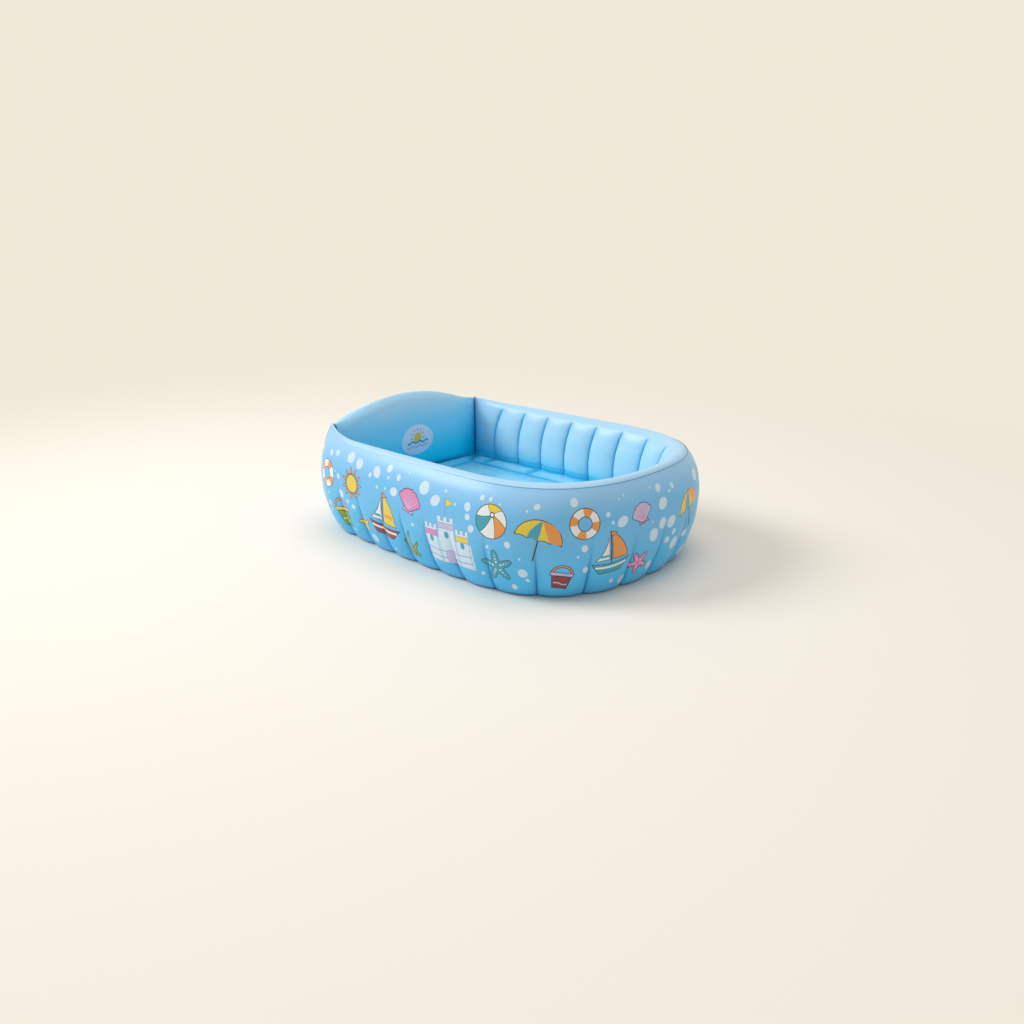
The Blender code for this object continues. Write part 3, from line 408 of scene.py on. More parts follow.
def parasol(size):
    turn = np.linspace(0, math.pi, 25)
    dome = np.column_stack([np.cos(turn), 0.86 * np.sin(turn)])
    hem = [bowed((-1 + 0.5 * k, 0), (-0.5 + 0.5 * k, 0), 0.12, 7)[:-1] for k in range(4)]
    shapes = [("outline", brushed([(0, 0.9), (0, 0), (0, -1)], 1.8 * OUTLINE_WIDTH / size))]
    shapes += edged("yellow", np.concatenate([dome, *hem]), size)
    for left, right, ink in ((-0.5, 0.0, "teal"), (0.5, 1.0, "orange")):
        sides = bowed((left, 0.02), (0, 0.86), 0.10 * (left < 0)), bowed((0, 0.86), (right, 0.02), 0.22 * (right > 0))
        shapes.append((ink, np.concatenate([sides[0], sides[1][1:]])[::-1]))
    return shapes


def printed(motif, size, x, y, turn, *inks):
    """One motif on the film: its shapes at this size, turned, with their middle at x, y."""
    c, s = math.cos(math.radians(turn)), math.sin(math.radians(turn))
    place = np.array([(c, s), (-s, c)])
    return [(ink, shape @ place * size + (x, y)) for ink, shape in motif(size, *inks)]


# One half of the print: each motif's size, distance round the wall, distance up the film, turn and own inks
PRINT_REPEAT = OUTER.length / 2
MOTIFS = (
    (parasol, 0.046, 0.105, 0.160, 12),
    (scallop_shell, 0.032, 0.180, 0.072, 20),
    (beach_ball, 0.034, 0.222, 0.172, 0),
    (sea_star, 0.036, 0.292, 0.086, -8, "orange", "yellow"),
    (life_ring, 0.032, 0.345, 0.176, 15),
    (bucket, 0.040, 0.398, 0.084, 10),
    (sun, 0.038, 0.455, 0.174, 0),
    (sea_star, 0.023, 0.487, 0.082, 14, "yellow", "orange"),
    (sailing_boat, 0.058, 0.568, 0.122, -5),
    (scallop_shell, 0.037, 0.668, 0.180, -14, "pink", "lilac"),
    (sea_grass, 0.038, 0.655, 0.078, 4),
    (sand_castle, 0.070, 0.782, 0.116, 2),
    (beach_ball, 0.035, 0.902, 0.186, 25),
    (sea_star, 0.038, 0.912, 0.088, 8),
    (parasol, 0.048, 1.003, 0.158, -14),
    (bucket, 0.032, 1.052, 0.070, -8, "maroon", "lilac"),
    (life_ring, 0.031, 1.098, 0.190, 30),
    (sailing_boat, 0.050, 1.160, 0.118, 6, "teal", "orange"),
    (scallop_shell, 0.030, 1.238, 0.190, 14),
    (sea_star, 0.028, 1.243, 0.078, 30, "pink", "white"),
)
# The flat film's two ends are joined on the head end, beside the backrest valve
FILM_START = -0.14
END_CLEAR = 0.01
PRINT_LOW, BELOW_SEAM = 0.03, 0.014
BUBBLES, BUBBLE_TRIES = 190, 60
BUBBLE_LEAST, BUBBLE_RANGE, BUBBLE_CLEAR, BUBBLE_EDGE = 0.0026, 0.0135, 0.004, 0.0006


def print_layout(top, kept_clear):
    """Every motif, then bubbles of many sizes scattered in the bare film between them."""
    motifs, bubbles, taken = [], [], list(kept_clear)
    film_end = FILM_START + OUTER.length
    for repeat in (0, 1):
        for motif, size, x, y, turn, *inks in MOTIFS:
            x += repeat * PRINT_REPEAT
            room = x + size < film_end - END_CLEAR
            if room and all(math.hypot(x - a, y - b) > 0.9 * size + c for a, b, c in kept_clear):
                motifs += printed(motif, size, x, y, turn, *inks)
                taken.append((x, y, size))
    drawn = random.Random(11)
    sizes = (BUBBLE_LEAST + BUBBLE_RANGE * drawn.random() ** 2.1 for _ in range(BUBBLES))
    for radius in sorted(sizes, reverse=True):
        for _ in range(BUBBLE_TRIES):
            x = drawn.uniform(FILM_START + radius + BUBBLE_CLEAR, film_end - radius - BUBBLE_CLEAR)
            y = PRINT_LOW + (top - BELOW_SEAM - radius - PRINT_LOW) * drawn.random() ** 0.75
            if all(math.hypot(x - a, y - b) > radius + c + BUBBLE_CLEAR for a, b, c in taken):
                taken.append((x, y, radius))
                shape = oval(1, drawn.uniform(0.68, 0.95), count=28)
                shape = printed(lambda size: [("bubble", shape)], radius, x, y, drawn.uniform(20, 130))[0][1]
                bubbles += [("bubble_edge", grown(shape, BUBBLE_EDGE)), ("bubble", shape)]
                break
    return bubbles + motifs


def inside_of(points, outline):
    """Which of the points lie inside a closed outline."""
    (x, y), odd = points.T, np.zeros(len(points), bool)
    for (x0, y0), (x1, y1) in zip(outline, np.roll(outline, -1, axis=0)):
        if y0 != y1:
            odd ^= ((y0 > y) != (y1 > y)) & (x < x0 + (y - y0) / (y1 - y0) * (x1 - x0))
    return odd


def loop_edges(first, count):
    return [(first + k, first + (k + 1) % count) for k in range(count)]


def triangles(points, edges, outlines=(), inside_only=0):
    """A flat net of triangles over the points, with these edges kept in it."""
    found = delaunay_2d_cdt([Vector(point) for point in points], edges, list(outlines), inside_only, 1e-6)
    return np.array([tuple(point) for point in found[0]]), np.array([face for face in found[2] if len(face) == 3])


def pairs(wide, tall):
    """Every pair of a mark along and a mark up, column by column."""
    return np.array(np.meshgrid(wide, tall, indexing="ij")).reshape(2, -1).T


def cut_film(wide_marks, tall_marks, creases, inks):
    """A flat film as triangles, cut along its creases and every printed edge, with each one's ink. Holes go."""
    wide, tall = len(wide_marks), len(tall_marks)
    everything, edges = pairs(wide_marks, tall_marks), []
    for column in {0, wide - 1, *creases}:
        edges += [(column * tall + k, column * tall + k + 1) for k in range(tall - 1)]
    for row in (0, tall - 1):
        edges += [(k * tall + row, (k + 1) * tall + row) for k in range(wide - 1)]
    count = len(everything)
    for ink, shape in inks:
        edges += loop_edges(count, len(shape))
        count += len(shape)
    plan, faces = triangles(np.concatenate([everything, *(shape for ink, shape in inks)]), edges)
    middles = plan[faces].mean(axis=1)
    looks = np.zeros(len(faces), int)
    for ink, shape in inks:
        close = np.flatnonzero(((middles > shape.min(axis=0)) & (middles < shape.max(axis=0))).all(axis=1))
        looks[close[inside_of(middles[close], shape)]] = -1 if ink == "hole" else INK_NAMES.index(ink)
    return plan, faces[looks >= 0], looks[looks >= 0]


# Outer film: 0.35 mm soft PVC, welded to the rim film along the seam and to the bottom film along its hem. Air
# bows it outwards, and the webs draw its lower half in at upright creases that scallop the hem.

FILM = 0.00035
FLOOR_HEIGHT = 0.090
BAND_BOTTOM = 0.122
BAND_TOP = 0.162
SEAM_HEIGHT = 0.238
SEAM_INSET = 0.030
BASE_INSET = 0.045
OUTER_GROOVE = 0.0105
HEM_REACH = 0.008
HEM_PAST_WALL = 0.017
SHARP_TURN = math.radians(38)
VALVE_FLAT_SHARE, VALVE_FLAT_REACH = 1.2, 0.024
# How much shade is painted into the film's creases and along its hem, and how far that reaches
CREASE_SHADE, CREASE_SHADE_WIDTH, CREASE_SHADE_TOP, CREASE_SHADE_FADE = 0.8, 0.0022, 0.165, 0.10
HEM_SHADE, HEM_SHADE_REACH = 0.95, 0.013
# The head end was filled a little askew, so that its near ear stands higher than its far one
EAR_TILT = 0.005
# Below the widest band: shares of the band's height, of the base's inset and of the crease's depth
LOWER_ROW_SHARES = ((0, 1, 1), (0.12, 0.7, 1), (0.32, 0.42, 1), (0.62, 0.16, 0.75), (0.84, 0.03, 0.42), (1, 0, 0.2))
# Above the band: shares of the rise to the seam and of the seam's inset, then the same film at an ear, which
# it runs up to: shares of the way across, and heights
UPPER_ROW_SHARES = ((0, 0, 0, 0.162), (0.5, 0.24, 0.20, 0.201), (0.8, 0.6, 0.50, 0.235), (1, 1, 0.80, 0.2560))


def tilted(stations, height):
    """Heights at the ears, higher at the near one than at the far one."""
    high = np.clip((height - 0.15) / 0.10, 0, 1)
    return height - EAR_TILT * np.sign(stations.outside[:, 1]) * high


def outer_rows(stations):
    base = 1.5 * FILM
    drawn_in = OUTER_GROOVE * stations.drawn
    hem = np.minimum(BASE_INSET + drawn_in + HEM_REACH, stations.thickness + HEM_PAST_WALL)
    rows = [stations.row(hem, base)]
    for up, inset, groove in LOWER_ROW_SHARES:
        rows.append(stations.row(BASE_INSET * inset + drawn_in * groove, base + (BAND_BOTTOM - base) * up))
    for up, inset, ear_across, ear_height in UPPER_ROW_SHARES:
        usual = stations.row(SEAM_INSET * inset * stations.relief, BAND_TOP + (SEAM_HEIGHT - BAND_TOP) * up)
        at_ear = stations.row(stations.thickness * ear_across, tilted(stations, ear_height))
        rows.append(usual + (at_ear - usual) * stations.ear[:, None])
    return rows


OUTER_MARKS = section_marks(outer_rows(MIDDLE_OF_A_PANEL))
OUTER_TOP = OUTER_MARKS[-1]


class Axis:
    """A fitting's axis: where it meets the film's face, the way out of the film and the side of its strap."""

    def __init__(self, origin, outward, sideways):
        self.origin, self.outward = np.array(origin, float), np.array(outward, float)
        self.frame = np.array([sideways, np.cross(outward, sideways), outward], float)

    def placed(self, points):
        return self.origin + np.asarray(points) @ self.frame


VALVE_FLANGE_RADIUS = 0.0165
VALVE_HOLE_RADIUS = 0.0082
WALL_VALVE = Axis((0.078852, 0.324711, 0.142), (-0.016685, 0.999861, 0), (0.999861, 0.016685, 0))
BACKREST_VALVE = Axis((-0.438175, 0, 0.142), (-1, 0, 0), (0, 1, 0))


def on_outer_film(along, up):
    """Points on the outer film, by distance round its widest line and distance up its section."""
    along = along % OUTER.length
    head = (along < NEAR_EAR) | (along > OUTER.length - NEAR_EAR)
    points = np.empty((len(along), 3))
    wrapped = np.where(along > OUTER.length / 2, along - OUTER.length, along)
    for chosen, stations in (
        (head, head_stations((wrapped[head] / NEAR_EAR + 1) / 2)),
        (~head, side_stations(np.interp(along[~head], WEB_MARKS_OUTSIDE, np.arange(PANELS + 1)))),
    ):
        points[chosen] = through(outer_rows(stations), OUTER_MARKS, up[chosen])
    # The film lies flat under the flange of each valve
    for valve in (WALL_VALVE, BACKREST_VALVE):
        away = points - valve.origin
        off = away @ valve.outward
        flat = near(np.linalg.norm(away, axis=1) - VALVE_FLAT_SHARE * VALVE_FLANGE_RADIUS, VALVE_FLAT_REACH)
        points -= ((off + FILM / 2) * flat)[:, None] * valve.outward
    return points


def facing(points, faces):
    """The direction that the film faces at each point."""
    corners = points[faces]
    normals = np.cross(corners[:, 1] - corners[:, 0], corners[:, -1] - corners[:, 0])
    if faces.shape[1] == 4:
        normals += np.cross(corners[:, 3] - corners[:, 2], corners[:, 1] - corners[:, 2])
    summed = np.zeros_like(points)
    for k in range(faces.shape[1]):
        np.add.at(summed, faces[:, k], normals)
    return summed / np.maximum(np.linalg.norm(summed, axis=1), 1e-12)[:, None]


def added(name, points, faces, outwards=False):
    """A new piece, smooth but where it turns sharply. Its faces can be turned to look outwards."""
    mesh = bpy.data.meshes.new(name)
    mesh.from_pydata(points.tolist(), [], faces)
    if outwards:
        built = bmesh.new()
        built.from_mesh(mesh)
        bmesh.ops.recalc_face_normals(built, faces=built.faces)
        built.to_mesh(mesh)
        built.free()
    mesh.shade_smooth()
    mesh.set_sharp_from_angle(angle=SHARP_TURN)
    piece = bpy.data.objects.new(name, mesh)
    bpy.context.scene.collection.objects.link(piece)
    return piece


def film_piece(name, points, faces, looks=None, painted_shades=None, thickness=FILM):
    """A closed sheet of film, given the middle of its thickness, and how much painted shade each point gets."""
    kept = np.unique(faces)
    order = np.zeros(len(points), int)
    order[kept] = np.arange(len(kept))
    points, faces = points[kept], order[faces]
    out = facing(points, faces) * thickness / 2
    ends = np.stack([faces, np.roll(faces, -1, axis=1)], axis=-1).reshape(-1, 2)
    _, first, used = np.unique(np.sort(ends, axis=1), axis=0, return_index=True, return_counts=True)
    rim = ends[first[used == 1]]
    walls = np.column_stack([rim[:, ::-1], rim + len(points)])
    behind = faces[:, ::-1] + len(points)
    sides = faces.tolist() + behind.tolist() + walls.tolist()
    piece = added(name, np.concatenate([points + out, points - out]), sides)
    if looks is not None:
        slots = np.zeros(len(sides), np.int32)
        slots[: len(looks)] = looks
        piece.data.polygons.foreach_set("material_index", slots)
    # Each point keeps its painted shade, for the film's colour to read
    if painted_shades is not None:
        depth = piece.data.attributes.new("painted_shade", "FLOAT", "POINT")
        depth.data.foreach_set("value", np.tile(painted_shades[kept], 2).astype(np.float32))
    return piece


def dressed(piece, material, node=None, body="tub"):
    """The piece gets its material, rides on its body and takes its solid's place."""
    piece.data.materials.append(material)
    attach(piece, body)
    if node:
        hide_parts(node)


def joined_to(tree, place, value):
    """Links a wire to a node's socket, or sets the socket to a plain value."""
    if isinstance(value, Wire):
        tree.links.new(value.socket, place)
    else:
        place.default_value = value


class Wire:
    """A socket in a material, with sums written as plain Python."""

    def __init__(self, tree, socket):
        self.tree, self.socket = tree, socket

    def sum(self, operation, *others):
        node = self.tree.nodes.new("ShaderNodeMath")
        node.operation = operation
        for place, value in zip(node.inputs, (self, *others)):
            joined_to(self.tree, place, value)
        return Wire(self.tree, node.outputs[0])

    def __add__(self, other):
        return self.sum("ADD", other)

    def __sub__(self, other):
        return self.sum("SUBTRACT", other)

    def __rsub__(self, other):
        return (self * -1).sum("ADD", other)

    def __mul__(self, other):
        return self.sum("MULTIPLY", other)

    __radd__ = __add__
    __rmul__ = __mul__


class Finish:
    """A material around one Principled shader."""

    def __init__(self, name, colour, roughness, coat=0.0, coat_roughness=0.15, **others):
        self.material = bpy.data.materials.new(name)
        self.material.use_nodes = True
        self.tree = self.material.node_tree
        self.shader = self.tree.nodes["Principled BSDF"]
        self.set("Base Color", (*colour, 1))
        self.set("Roughness", roughness)
        self.set("Coat Weight", coat)
        self.set("Coat Roughness", coat_roughness)
        for place, value in others.items():
            self.set(place.replace("_", " "), value)

    def set(self, place, value):
        joined_to(self.tree, self.shader.inputs[place], value)

    def node(self, kind, settings, sockets, result=0):
        made = self.tree.nodes.new(kind)
        for key, value in settings.items():
            setattr(made, key, value)
        for key, value in sockets.items():
            joined_to(self.tree, made.inputs[key], value)
        return Wire(self.tree, made.outputs[result])

    def place(self):
        return self.node("ShaderNodeTexCoord", {}, {}, "Object")

    def height(self):
        return self.node("ShaderNodeSeparateXYZ", {}, {"Vector": self.place()}, "Z")

    # How much shade is painted on each point, read from the piece's own layer
    def painted_shade(self):
        return self.node("ShaderNodeAttribute", {"attribute_name": "painted_shade"}, {}, "Fac")

    def ramp(self, value, low, high):
        """0 at low, 1 at high, smooth between."""
        sockets = {"Value": value, "From Min": low, "From Max": high}
        return self.node("ShaderNodeMapRange", {"interpolation_type": "SMOOTHSTEP"}, sockets)

    def noise(self, scale, detail=2.0):
        return self.node("ShaderNodeTexNoise", {}, {"Vector": self.place(), "Scale": scale, "Detail": detail})

    def blend(self, share, one, other):
        colours = [value if isinstance(value, Wire) else (*value, 1) for value in (one, other)]
        sockets = {"Factor": share, 6: colours[0], 7: colours[1]}
        return self.node("ShaderNodeMix", {"data_type": "RGBA"}, sockets, 2)

    def relief(self, height, distance):
        sockets = {"Height": height, "Distance": distance, "Strength": 1.0}
        self.set("Normal", self.node("ShaderNodeBump", {}, sockets))


def painted_light_film(name, colour, painted_by_height, painted_shade_colour, roughness=0.42, coat=0.30):
    """Soft PVC film with light and shade painted into its colour: it changes with height, deeper low down where it
    faces only other blue film, and painted shade darkens its creases, where its coat is taken off.
    """
    finish = Finish(name, colour, roughness, coat, 0.28, Specular_IOR_Level=0.2)
    height = finish.height() + (finish.noise(6.0) - 0.5) * 0.028
    # Painted light and shade by height, then the shade painted on each point
    for low, high, next_colour in painted_by_height:
        colour = finish.blend(finish.ramp(height, low, high), colour, next_colour)
    finish.set("Base Color", finish.blend(finish.painted_shade(), colour, painted_shade_colour))
    finish.set("Roughness", finish.noise(31.0, 3.0) * 0.16 + (roughness - 0.08))
    finish.set("Coat Weight", (1 - finish.painted_shade()) * coat)
    finish.relief(finish.noise(46.0, 3.0) + finish.noise(11.0, 1.0) * 2.2, 0.0005)
    return finish.material


# Panels are finely spaced beside each web, where the film turns sharply
across_a_panel = 0.5 - 0.5 * np.cos(np.linspace(0, math.pi, 23)[:-1])
columns = (np.arange(PANELS)[:, None] + across_a_panel).ravel()
side_marks = np.interp(np.append(columns, PANELS), np.arange(PANELS + 1), WEB_MARKS_OUTSIDE)
head_marks = np.linspace(0, NEAR_EAR, 41)[:-1]
round_marks = np.concatenate([head_marks, side_marks, OUTER.length - head_marks[:0:-1]])
film_end = FILM_START + OUTER.length
past_end = round_marks > film_end
round_marks = np.concatenate([[FILM_START], round_marks[past_end] - OUTER.length, round_marks[~past_end], [film_end]])
up_marks = np.concatenate([[0], np.linspace(HEM_REACH, OUTER_TOP, 50)])
web_columns = [int(np.abs(round_marks - mark).argmin()) for mark in WEB_MARKS_OUTSIDE[1:-1]]
WALL_VALVE_ALONG = OUTER.marks[np.linalg.norm(OUTER.points - WALL_VALVE.origin[:2], axis=1).argmin()]
VALVE_UP = float(np.interp(WALL_VALVE.origin[2], on_outer_film(np.zeros(50), up_marks[1:])[:, 2], up_marks[1:]))
valve_spots = [(along, VALVE_UP, 1.3 * VALVE_FLANGE_RADIUS) for along in (0.0, WALL_VALVE_ALONG)]
inks = print_layout(OUTER_TOP, valve_spots)
inks += [("hole", oval(VALVE_HOLE_RADIUS, x=along, y=up, count=48)) for along, up, clear in valve_spots]
plan, faces, looks = cut_film(round_marks, up_marks, web_columns, inks)

# The flat film is closed into a ring
starts = np.flatnonzero(plan[:, 0] < FILM_START + 1e-7)
ends = np.flatnonzero(plan[:, 0] > film_end - 1e-7)
joined = np.arange(len(plan))
joined[ends[plan[ends, 1].argsort()]] = starts[plan[starts, 1].argsort()]
web_number = np.interp(plan[:, 0] % OUTER.length, WEB_MARKS_OUTSIDE, np.arange(PANELS + 1))
from_web = np.abs(web_number - np.round(web_number)) * PITCH
on_side = (web_number > 0.5) & (web_number < PANELS - 0.5)
# Painted shade in the lower creases and along the hem
fading = np.clip((CREASE_SHADE_TOP - plan[:, 1]) / CREASE_SHADE_FADE, 0, 1)
painted_shades = CREASE_SHADE * np.exp(-from_web / CREASE_SHADE_WIDTH) * fading * on_side
painted_shades = np.maximum(painted_shades, HEM_SHADE * near(np.maximum(plan[:, 1] - HEM_REACH, 0), HEM_SHADE_REACH))
outer_film = film_piece("outer_film_printed", on_outer_film(*plan.T), joined[faces], looks, painted_shades)
# Painted light and shade by height: deepest blue low down, paler towards the seam where light falls on the shoulder
PRINTED_PAINTED_LIGHT = ((0.040, 0.150, (0.160, 0.520, 0.900)), (0.170, 0.236, (0.310, 0.600, 0.920)))
printed_finish = painted_light_film("printed_film", (0.090, 0.540, 0.950), PRINTED_PAINTED_LIGHT, (0.01, 0.20, 0.50))
dressed(outer_film, printed_finish, "outer_film")
for ink in INK_NAMES[1:]:
    outer_film.data.materials.append(Finish(f"ink_{ink}", INKS[ink], 0.34, 0.3).material)


# Rim film: plain film of the same gauge, over the crest and down the inside of both sides and the foot end.
# It is welded to each web from just below the crest to the floor, which makes the deep upright creases, and
# its foot goes down to the bottom film behind the floor.

CREST_HEIGHT = 0.244
INNER_GROOVE = 0.0145
PARTITION_LEAN = 0.020
# Shares of the wall's thickness and of the rise from floor to crest
RIM_ROW_SHARES = ((0.42, 0.985), (0.58, 1.0), (0.755, 0.955), (0.895, 0.855), (0.990, 0.705), (1.068, 0.430),
                  (1.062, 0.150), (1.02, 0.0))
# The ear: both inner films rise to one point there. Shares of the way across, and heights
EAR_SECTION = ((0.68, 0.2470), (0.805, 0.2554), (0.88, 0.2585), (0.95, 0.2600), (1.01, 0.2595), (1.07, 0.2510),
               (1.09, 0.2300), (1.06, 0.1900), (1.01, 0.1400), (1.0, 0.0900), (1.2, 0.0010))
# Where each section starts, meets the seam, has its highest point, meets the floor and ends
EAR_TURNS, RIM_TURNS, BACK_TURNS = [0, 1, 4, 9, -1], [0, 1, 3, 9, -1], [0, 1, 5, 12, -1]
WELD_OFFSET = 0.0006
WELD_REACH = 0.014
LAP, LAP_DROP = 0.004, 0.0062
OVER_SEAM, UNDER_SEAM = 0.0010, 0.0002
FOOT_HEIGHT, LOWEST = 0.0010, 0.0008
EAR_SHADE_STARTS, EAR_SHADE_FADE, EAR_SHADE_DEEPEST = 0.008, 0.02, 0.15


def ear_rows(stations):
    return [stations.row(stations.thickness * across, tilted(stations, height)) for across, height in EAR_SECTION]


EAR_MARKS = section_marks(ear_rows(EAR))
_, EAR_SEAM, EAR_POINT, EAR_FLOOR, EAR_END = EAR_MARKS[EAR_TURNS]


def ear_line(side, up):
    """Points on the ear's own section: the near ear is side 0, the far one side 1."""
    return through([row[[side]] for row in ear_rows(EAR)], EAR_MARKS, up)


def edge_welded(points, at_seam, stations, along, up, seam):
    """The film's lower edge lies on the inside of the outer film's top edge and is welded to it."""
    edge = on_outer_film(along, OUTER_TOP - np.maximum(seam - up, 0))
    edge += WELD_OFFSET * np.column_stack([stations.across, -np.ones(len(up))])
    welded = np.where((up < seam)[:, None], edge, points + (edge - at_seam) * near(up - seam, WELD_REACH)[:, None])
    welded[:, 2] = np.maximum(welded[:, 2], LOWEST)
    return welded


def gathered(points, stations, up, turns, far):
    """The film drawn together at the ears, where it follows the ear's own section."""
    section = np.interp(up, turns, EAR_MARKS[EAR_TURNS])
    ear = np.where(far[:, None], ear_line(1, section), ear_line(0, section))
    return points + (ear - points) * stations.ear[:, None]


def ear_shade(from_ear, down, width, spread):
    """A deep shade in the ear's corner, in a wedge that widens on the way down."""
    wedge = width + spread * np.clip(down, 0, EAR_SHADE_DEEPEST)
    return np.exp(-((from_ear / wedge) ** 2)) * np.clip((down - EAR_SHADE_STARTS) / EAR_SHADE_FADE, 0, 1)


def lapped(stations, rows):
    """Rows of an inner film: its lap inside the seam, these rows, and its foot on the bottom film."""
    seam = SEAM_INSET * stations.relief
    lap = stations.row(seam - LAP, SEAM_HEIGHT - LAP_DROP)
    foot = stations.row(stations.thickness + PARTITION_LEAN, FOOT_HEIGHT)
    return [lap, stations.row(seam + OVER_SEAM, SEAM_HEIGHT - UNDER_SEAM), *rows, foot]


def rim_rows(stations):
    """From just under the seam, over the crest and down the inside to the floor and the bottom film."""
    rise = CREST_HEIGHT - FLOOR_HEIGHT
    return lapped(stations, [stations.row(stations.thickness * across, FLOOR_HEIGHT + rise * up)
                             for across, up in RIM_ROW_SHARES])


RIM_MARKS = section_marks(rim_rows(MIDDLE_OF_A_PANEL))
_, RIM_SEAM, RIM_CREST, RIM_FLOOR, RIM_END = RIM_MARKS[RIM_TURNS]
# How far the creases reach: distances down from the crest and shares of their full depth
CREASE_REACH = (0.018, 0.032, 0.052, 0.090, RIM_FLOOR - RIM_CREST)
CREASE_SHARES = (0.0, 0.34, 0.78, 1.0, 0.75)
# In panels: how far the tops of the creases lean towards the foot end, and how far their feet are spread away
# from the middle of the foot end, by how many panels from it they are
CREASE_LEAN, LEAN_STARTS, LEAN_REACH = 0.28, 0.008, 0.11
LEAN_TURNS_OVER = 1.5
FOOT_SPREAD = (0.0, 0.42, 0.30, 0.12, 0.0)
SPREAD_STARTS, SPREAD_REACH = 0.01, 0.09
# The foot end: how many panels it reaches, and how much lower its creases start
FOOT_PANELS = 4.2
FOOT_DROP = 0.018
PUCKER_SHARES = (0.24, 0.50, 0.74)
PUCKER_DEPTH, PUCKER_WIDTH, PUCKER_DOWN, PUCKER_REACH = 0.0045, 0.0026, 0.018, 0.024
# The film is pinched a little where the floor's skirt meets it
PINCH_DEPTH, PINCH_WIDTH, PINCH_UP = 0.0025, 0.0022, 0.013
SLIT_SHADE_WIDTH, SLIT_SHADE_STARTS, SLIT_SHADE_FADE = 0.0026, 0.018, 0.008
SKIRT_SHADE, SKIRT_UP, SKIRT_REACH = 0.85, 0.007, 0.009


def on_rim_film(columns, up):
    """Points on the rim film, by web number and distance along its section, and how much shade is painted on each: in
    the slits of its creases, along the floor's skirt and in the ear's corner.
    """
    down, from_floor = up - RIM_CREST, RIM_FLOOR - up
    from_middle = columns - PANELS / 2
    from_ear = np.minimum(columns, PANELS - columns)
    towards_foot = np.clip(-from_middle / LEAN_TURNS_OVER, -1, 1) * np.clip(from_ear, 0, 1)
    high_up = np.clip(1 - (down - LEAN_STARTS) / LEAN_REACH, 0, 1) ** 2 * (down > 0)
    leaning = columns + CREASE_LEAN * towards_foot * high_up
    spread = np.interp(np.abs(from_middle), range(5), FOOT_SPREAD) * np.sign(from_middle)
    leaning = leaning + spread * np.clip((down - SPREAD_STARTS) / SPREAD_REACH, 0, 1)

    def smooth(shift, up):
        here = side_stations(leaning + shift)
        return gathered(through(rim_rows(here), RIM_MARKS, up), here, up, RIM_MARKS[RIM_TURNS], from_middle > 0)

    along = np.interp(columns, np.arange(PANELS + 1), WEB_MARKS_OUTSIDE)
    stations = side_stations(leaning)
    out = unit(np.cross(smooth(0.004, up) - smooth(-0.004, up), smooth(0, up + 0.0004) - smooth(0, up - 0.0004)))
    at_foot = near(np.abs(from_middle), FOOT_PANELS)
    reach = np.interp(down + FOOT_DROP * at_foot, CREASE_REACH, CREASE_SHARES, left=0.0)
    share = columns - np.floor(columns)
    drawn = INNER_GROOVE * stations.relief * np.where(from_ear < 0.5, 0, crease(share)) * reach
    # Small puckers fan out under the crest round the foot end
    pucker = sum(np.exp(-(((share - middle) * PITCH) / PUCKER_WIDTH) ** 2) for middle in PUCKER_SHARES)
    drawn = drawn + PUCKER_DEPTH * at_foot * pucker * near(np.abs(down - PUCKER_DOWN), PUCKER_REACH)
    drawn = drawn + PINCH_DEPTH * np.exp(-(((from_floor - PINCH_UP) / PINCH_WIDTH) ** 2))
    # Painted shade in the slits of the creases, along the floor's skirt and in the ear's corner
    slit = np.exp(-np.minimum(share, 1 - share) * PITCH / SLIT_SHADE_WIDTH)
    slit = slit * np.clip((down - SLIT_SHADE_STARTS) / SLIT_SHADE_FADE, 0, 1)
    skirt = SKIRT_SHADE * near(np.abs(from_floor - SKIRT_UP), SKIRT_REACH)
    at_seam = smooth(0, np.full(len(up), RIM_SEAM))
    points = edge_welded(smooth(0, up), at_seam, stations, along, up, RIM_SEAM) - out * drawn[:, None]
    points[:, 2] = np.maximum(points[:, 2], LOWEST)
    return points, np.maximum.reduce([slit, skirt, ear_shade(from_ear * PITCH, down, 0.006, 0.52)])


def net(wide, tall):
    """Faces between the rows and columns of a net of points, column by column."""
    corner = (np.arange(wide - 1)[:, None] * tall + np.arange(tall - 1)).ravel()
    return np.column_stack([corner, corner + tall, corner + tall + 1, corner + 1])


rim_columns = np.append(columns, PANELS)
rim_up = np.concatenate([np.linspace(0, RIM_CREST, 14)[:-1], np.linspace(RIM_CREST, RIM_CREST + 0.05, 21)[:-1],
                         np.linspace(RIM_CREST + 0.05, RIM_FLOOR, 30)[:-1], np.linspace(RIM_FLOOR, RIM_END, 10)])
points, painted_shades = on_rim_film(*pairs(rim_columns, rim_up).T)
rim_film = film_piece("rim_film_plain", points, net(len(rim_columns), len(rim_up)), None, painted_shades)
# Painted light and shade by height: deep blue low down, paler where the panels face the light, a little deeper again
# on the shoulder under the crest
RIM_PAINTED_LIGHT = ((0.088, 0.150, (0.50, 0.82, 1.0)), (0.205, 0.240, (0.41, 0.68, 0.93)))
rim_finish = painted_light_film("rim_film_finish", (0.10, 0.74, 0.99), RIM_PAINTED_LIGHT, (0.0, 0.47, 0.80))
dressed(rim_film, rim_finish, "rim_film")


# Backrest film: one smooth sheet up the back of the head end, over the arch and down its face, blown up into
# a pillow. A round emblem is printed on its face: a plain sun over two waves.

ARCH_HEIGHT = 0.297
NOTCH_HEIGHT = 0.243
BACKREST_BULGE = 0.035
# Up the back: shares of the rise from seam to arch and of the way across
ARCH_BACK_SHARES = ((0.10, 0.40), (0.55, 0.50), (0.88, 0.66), (1.0, 0.86))
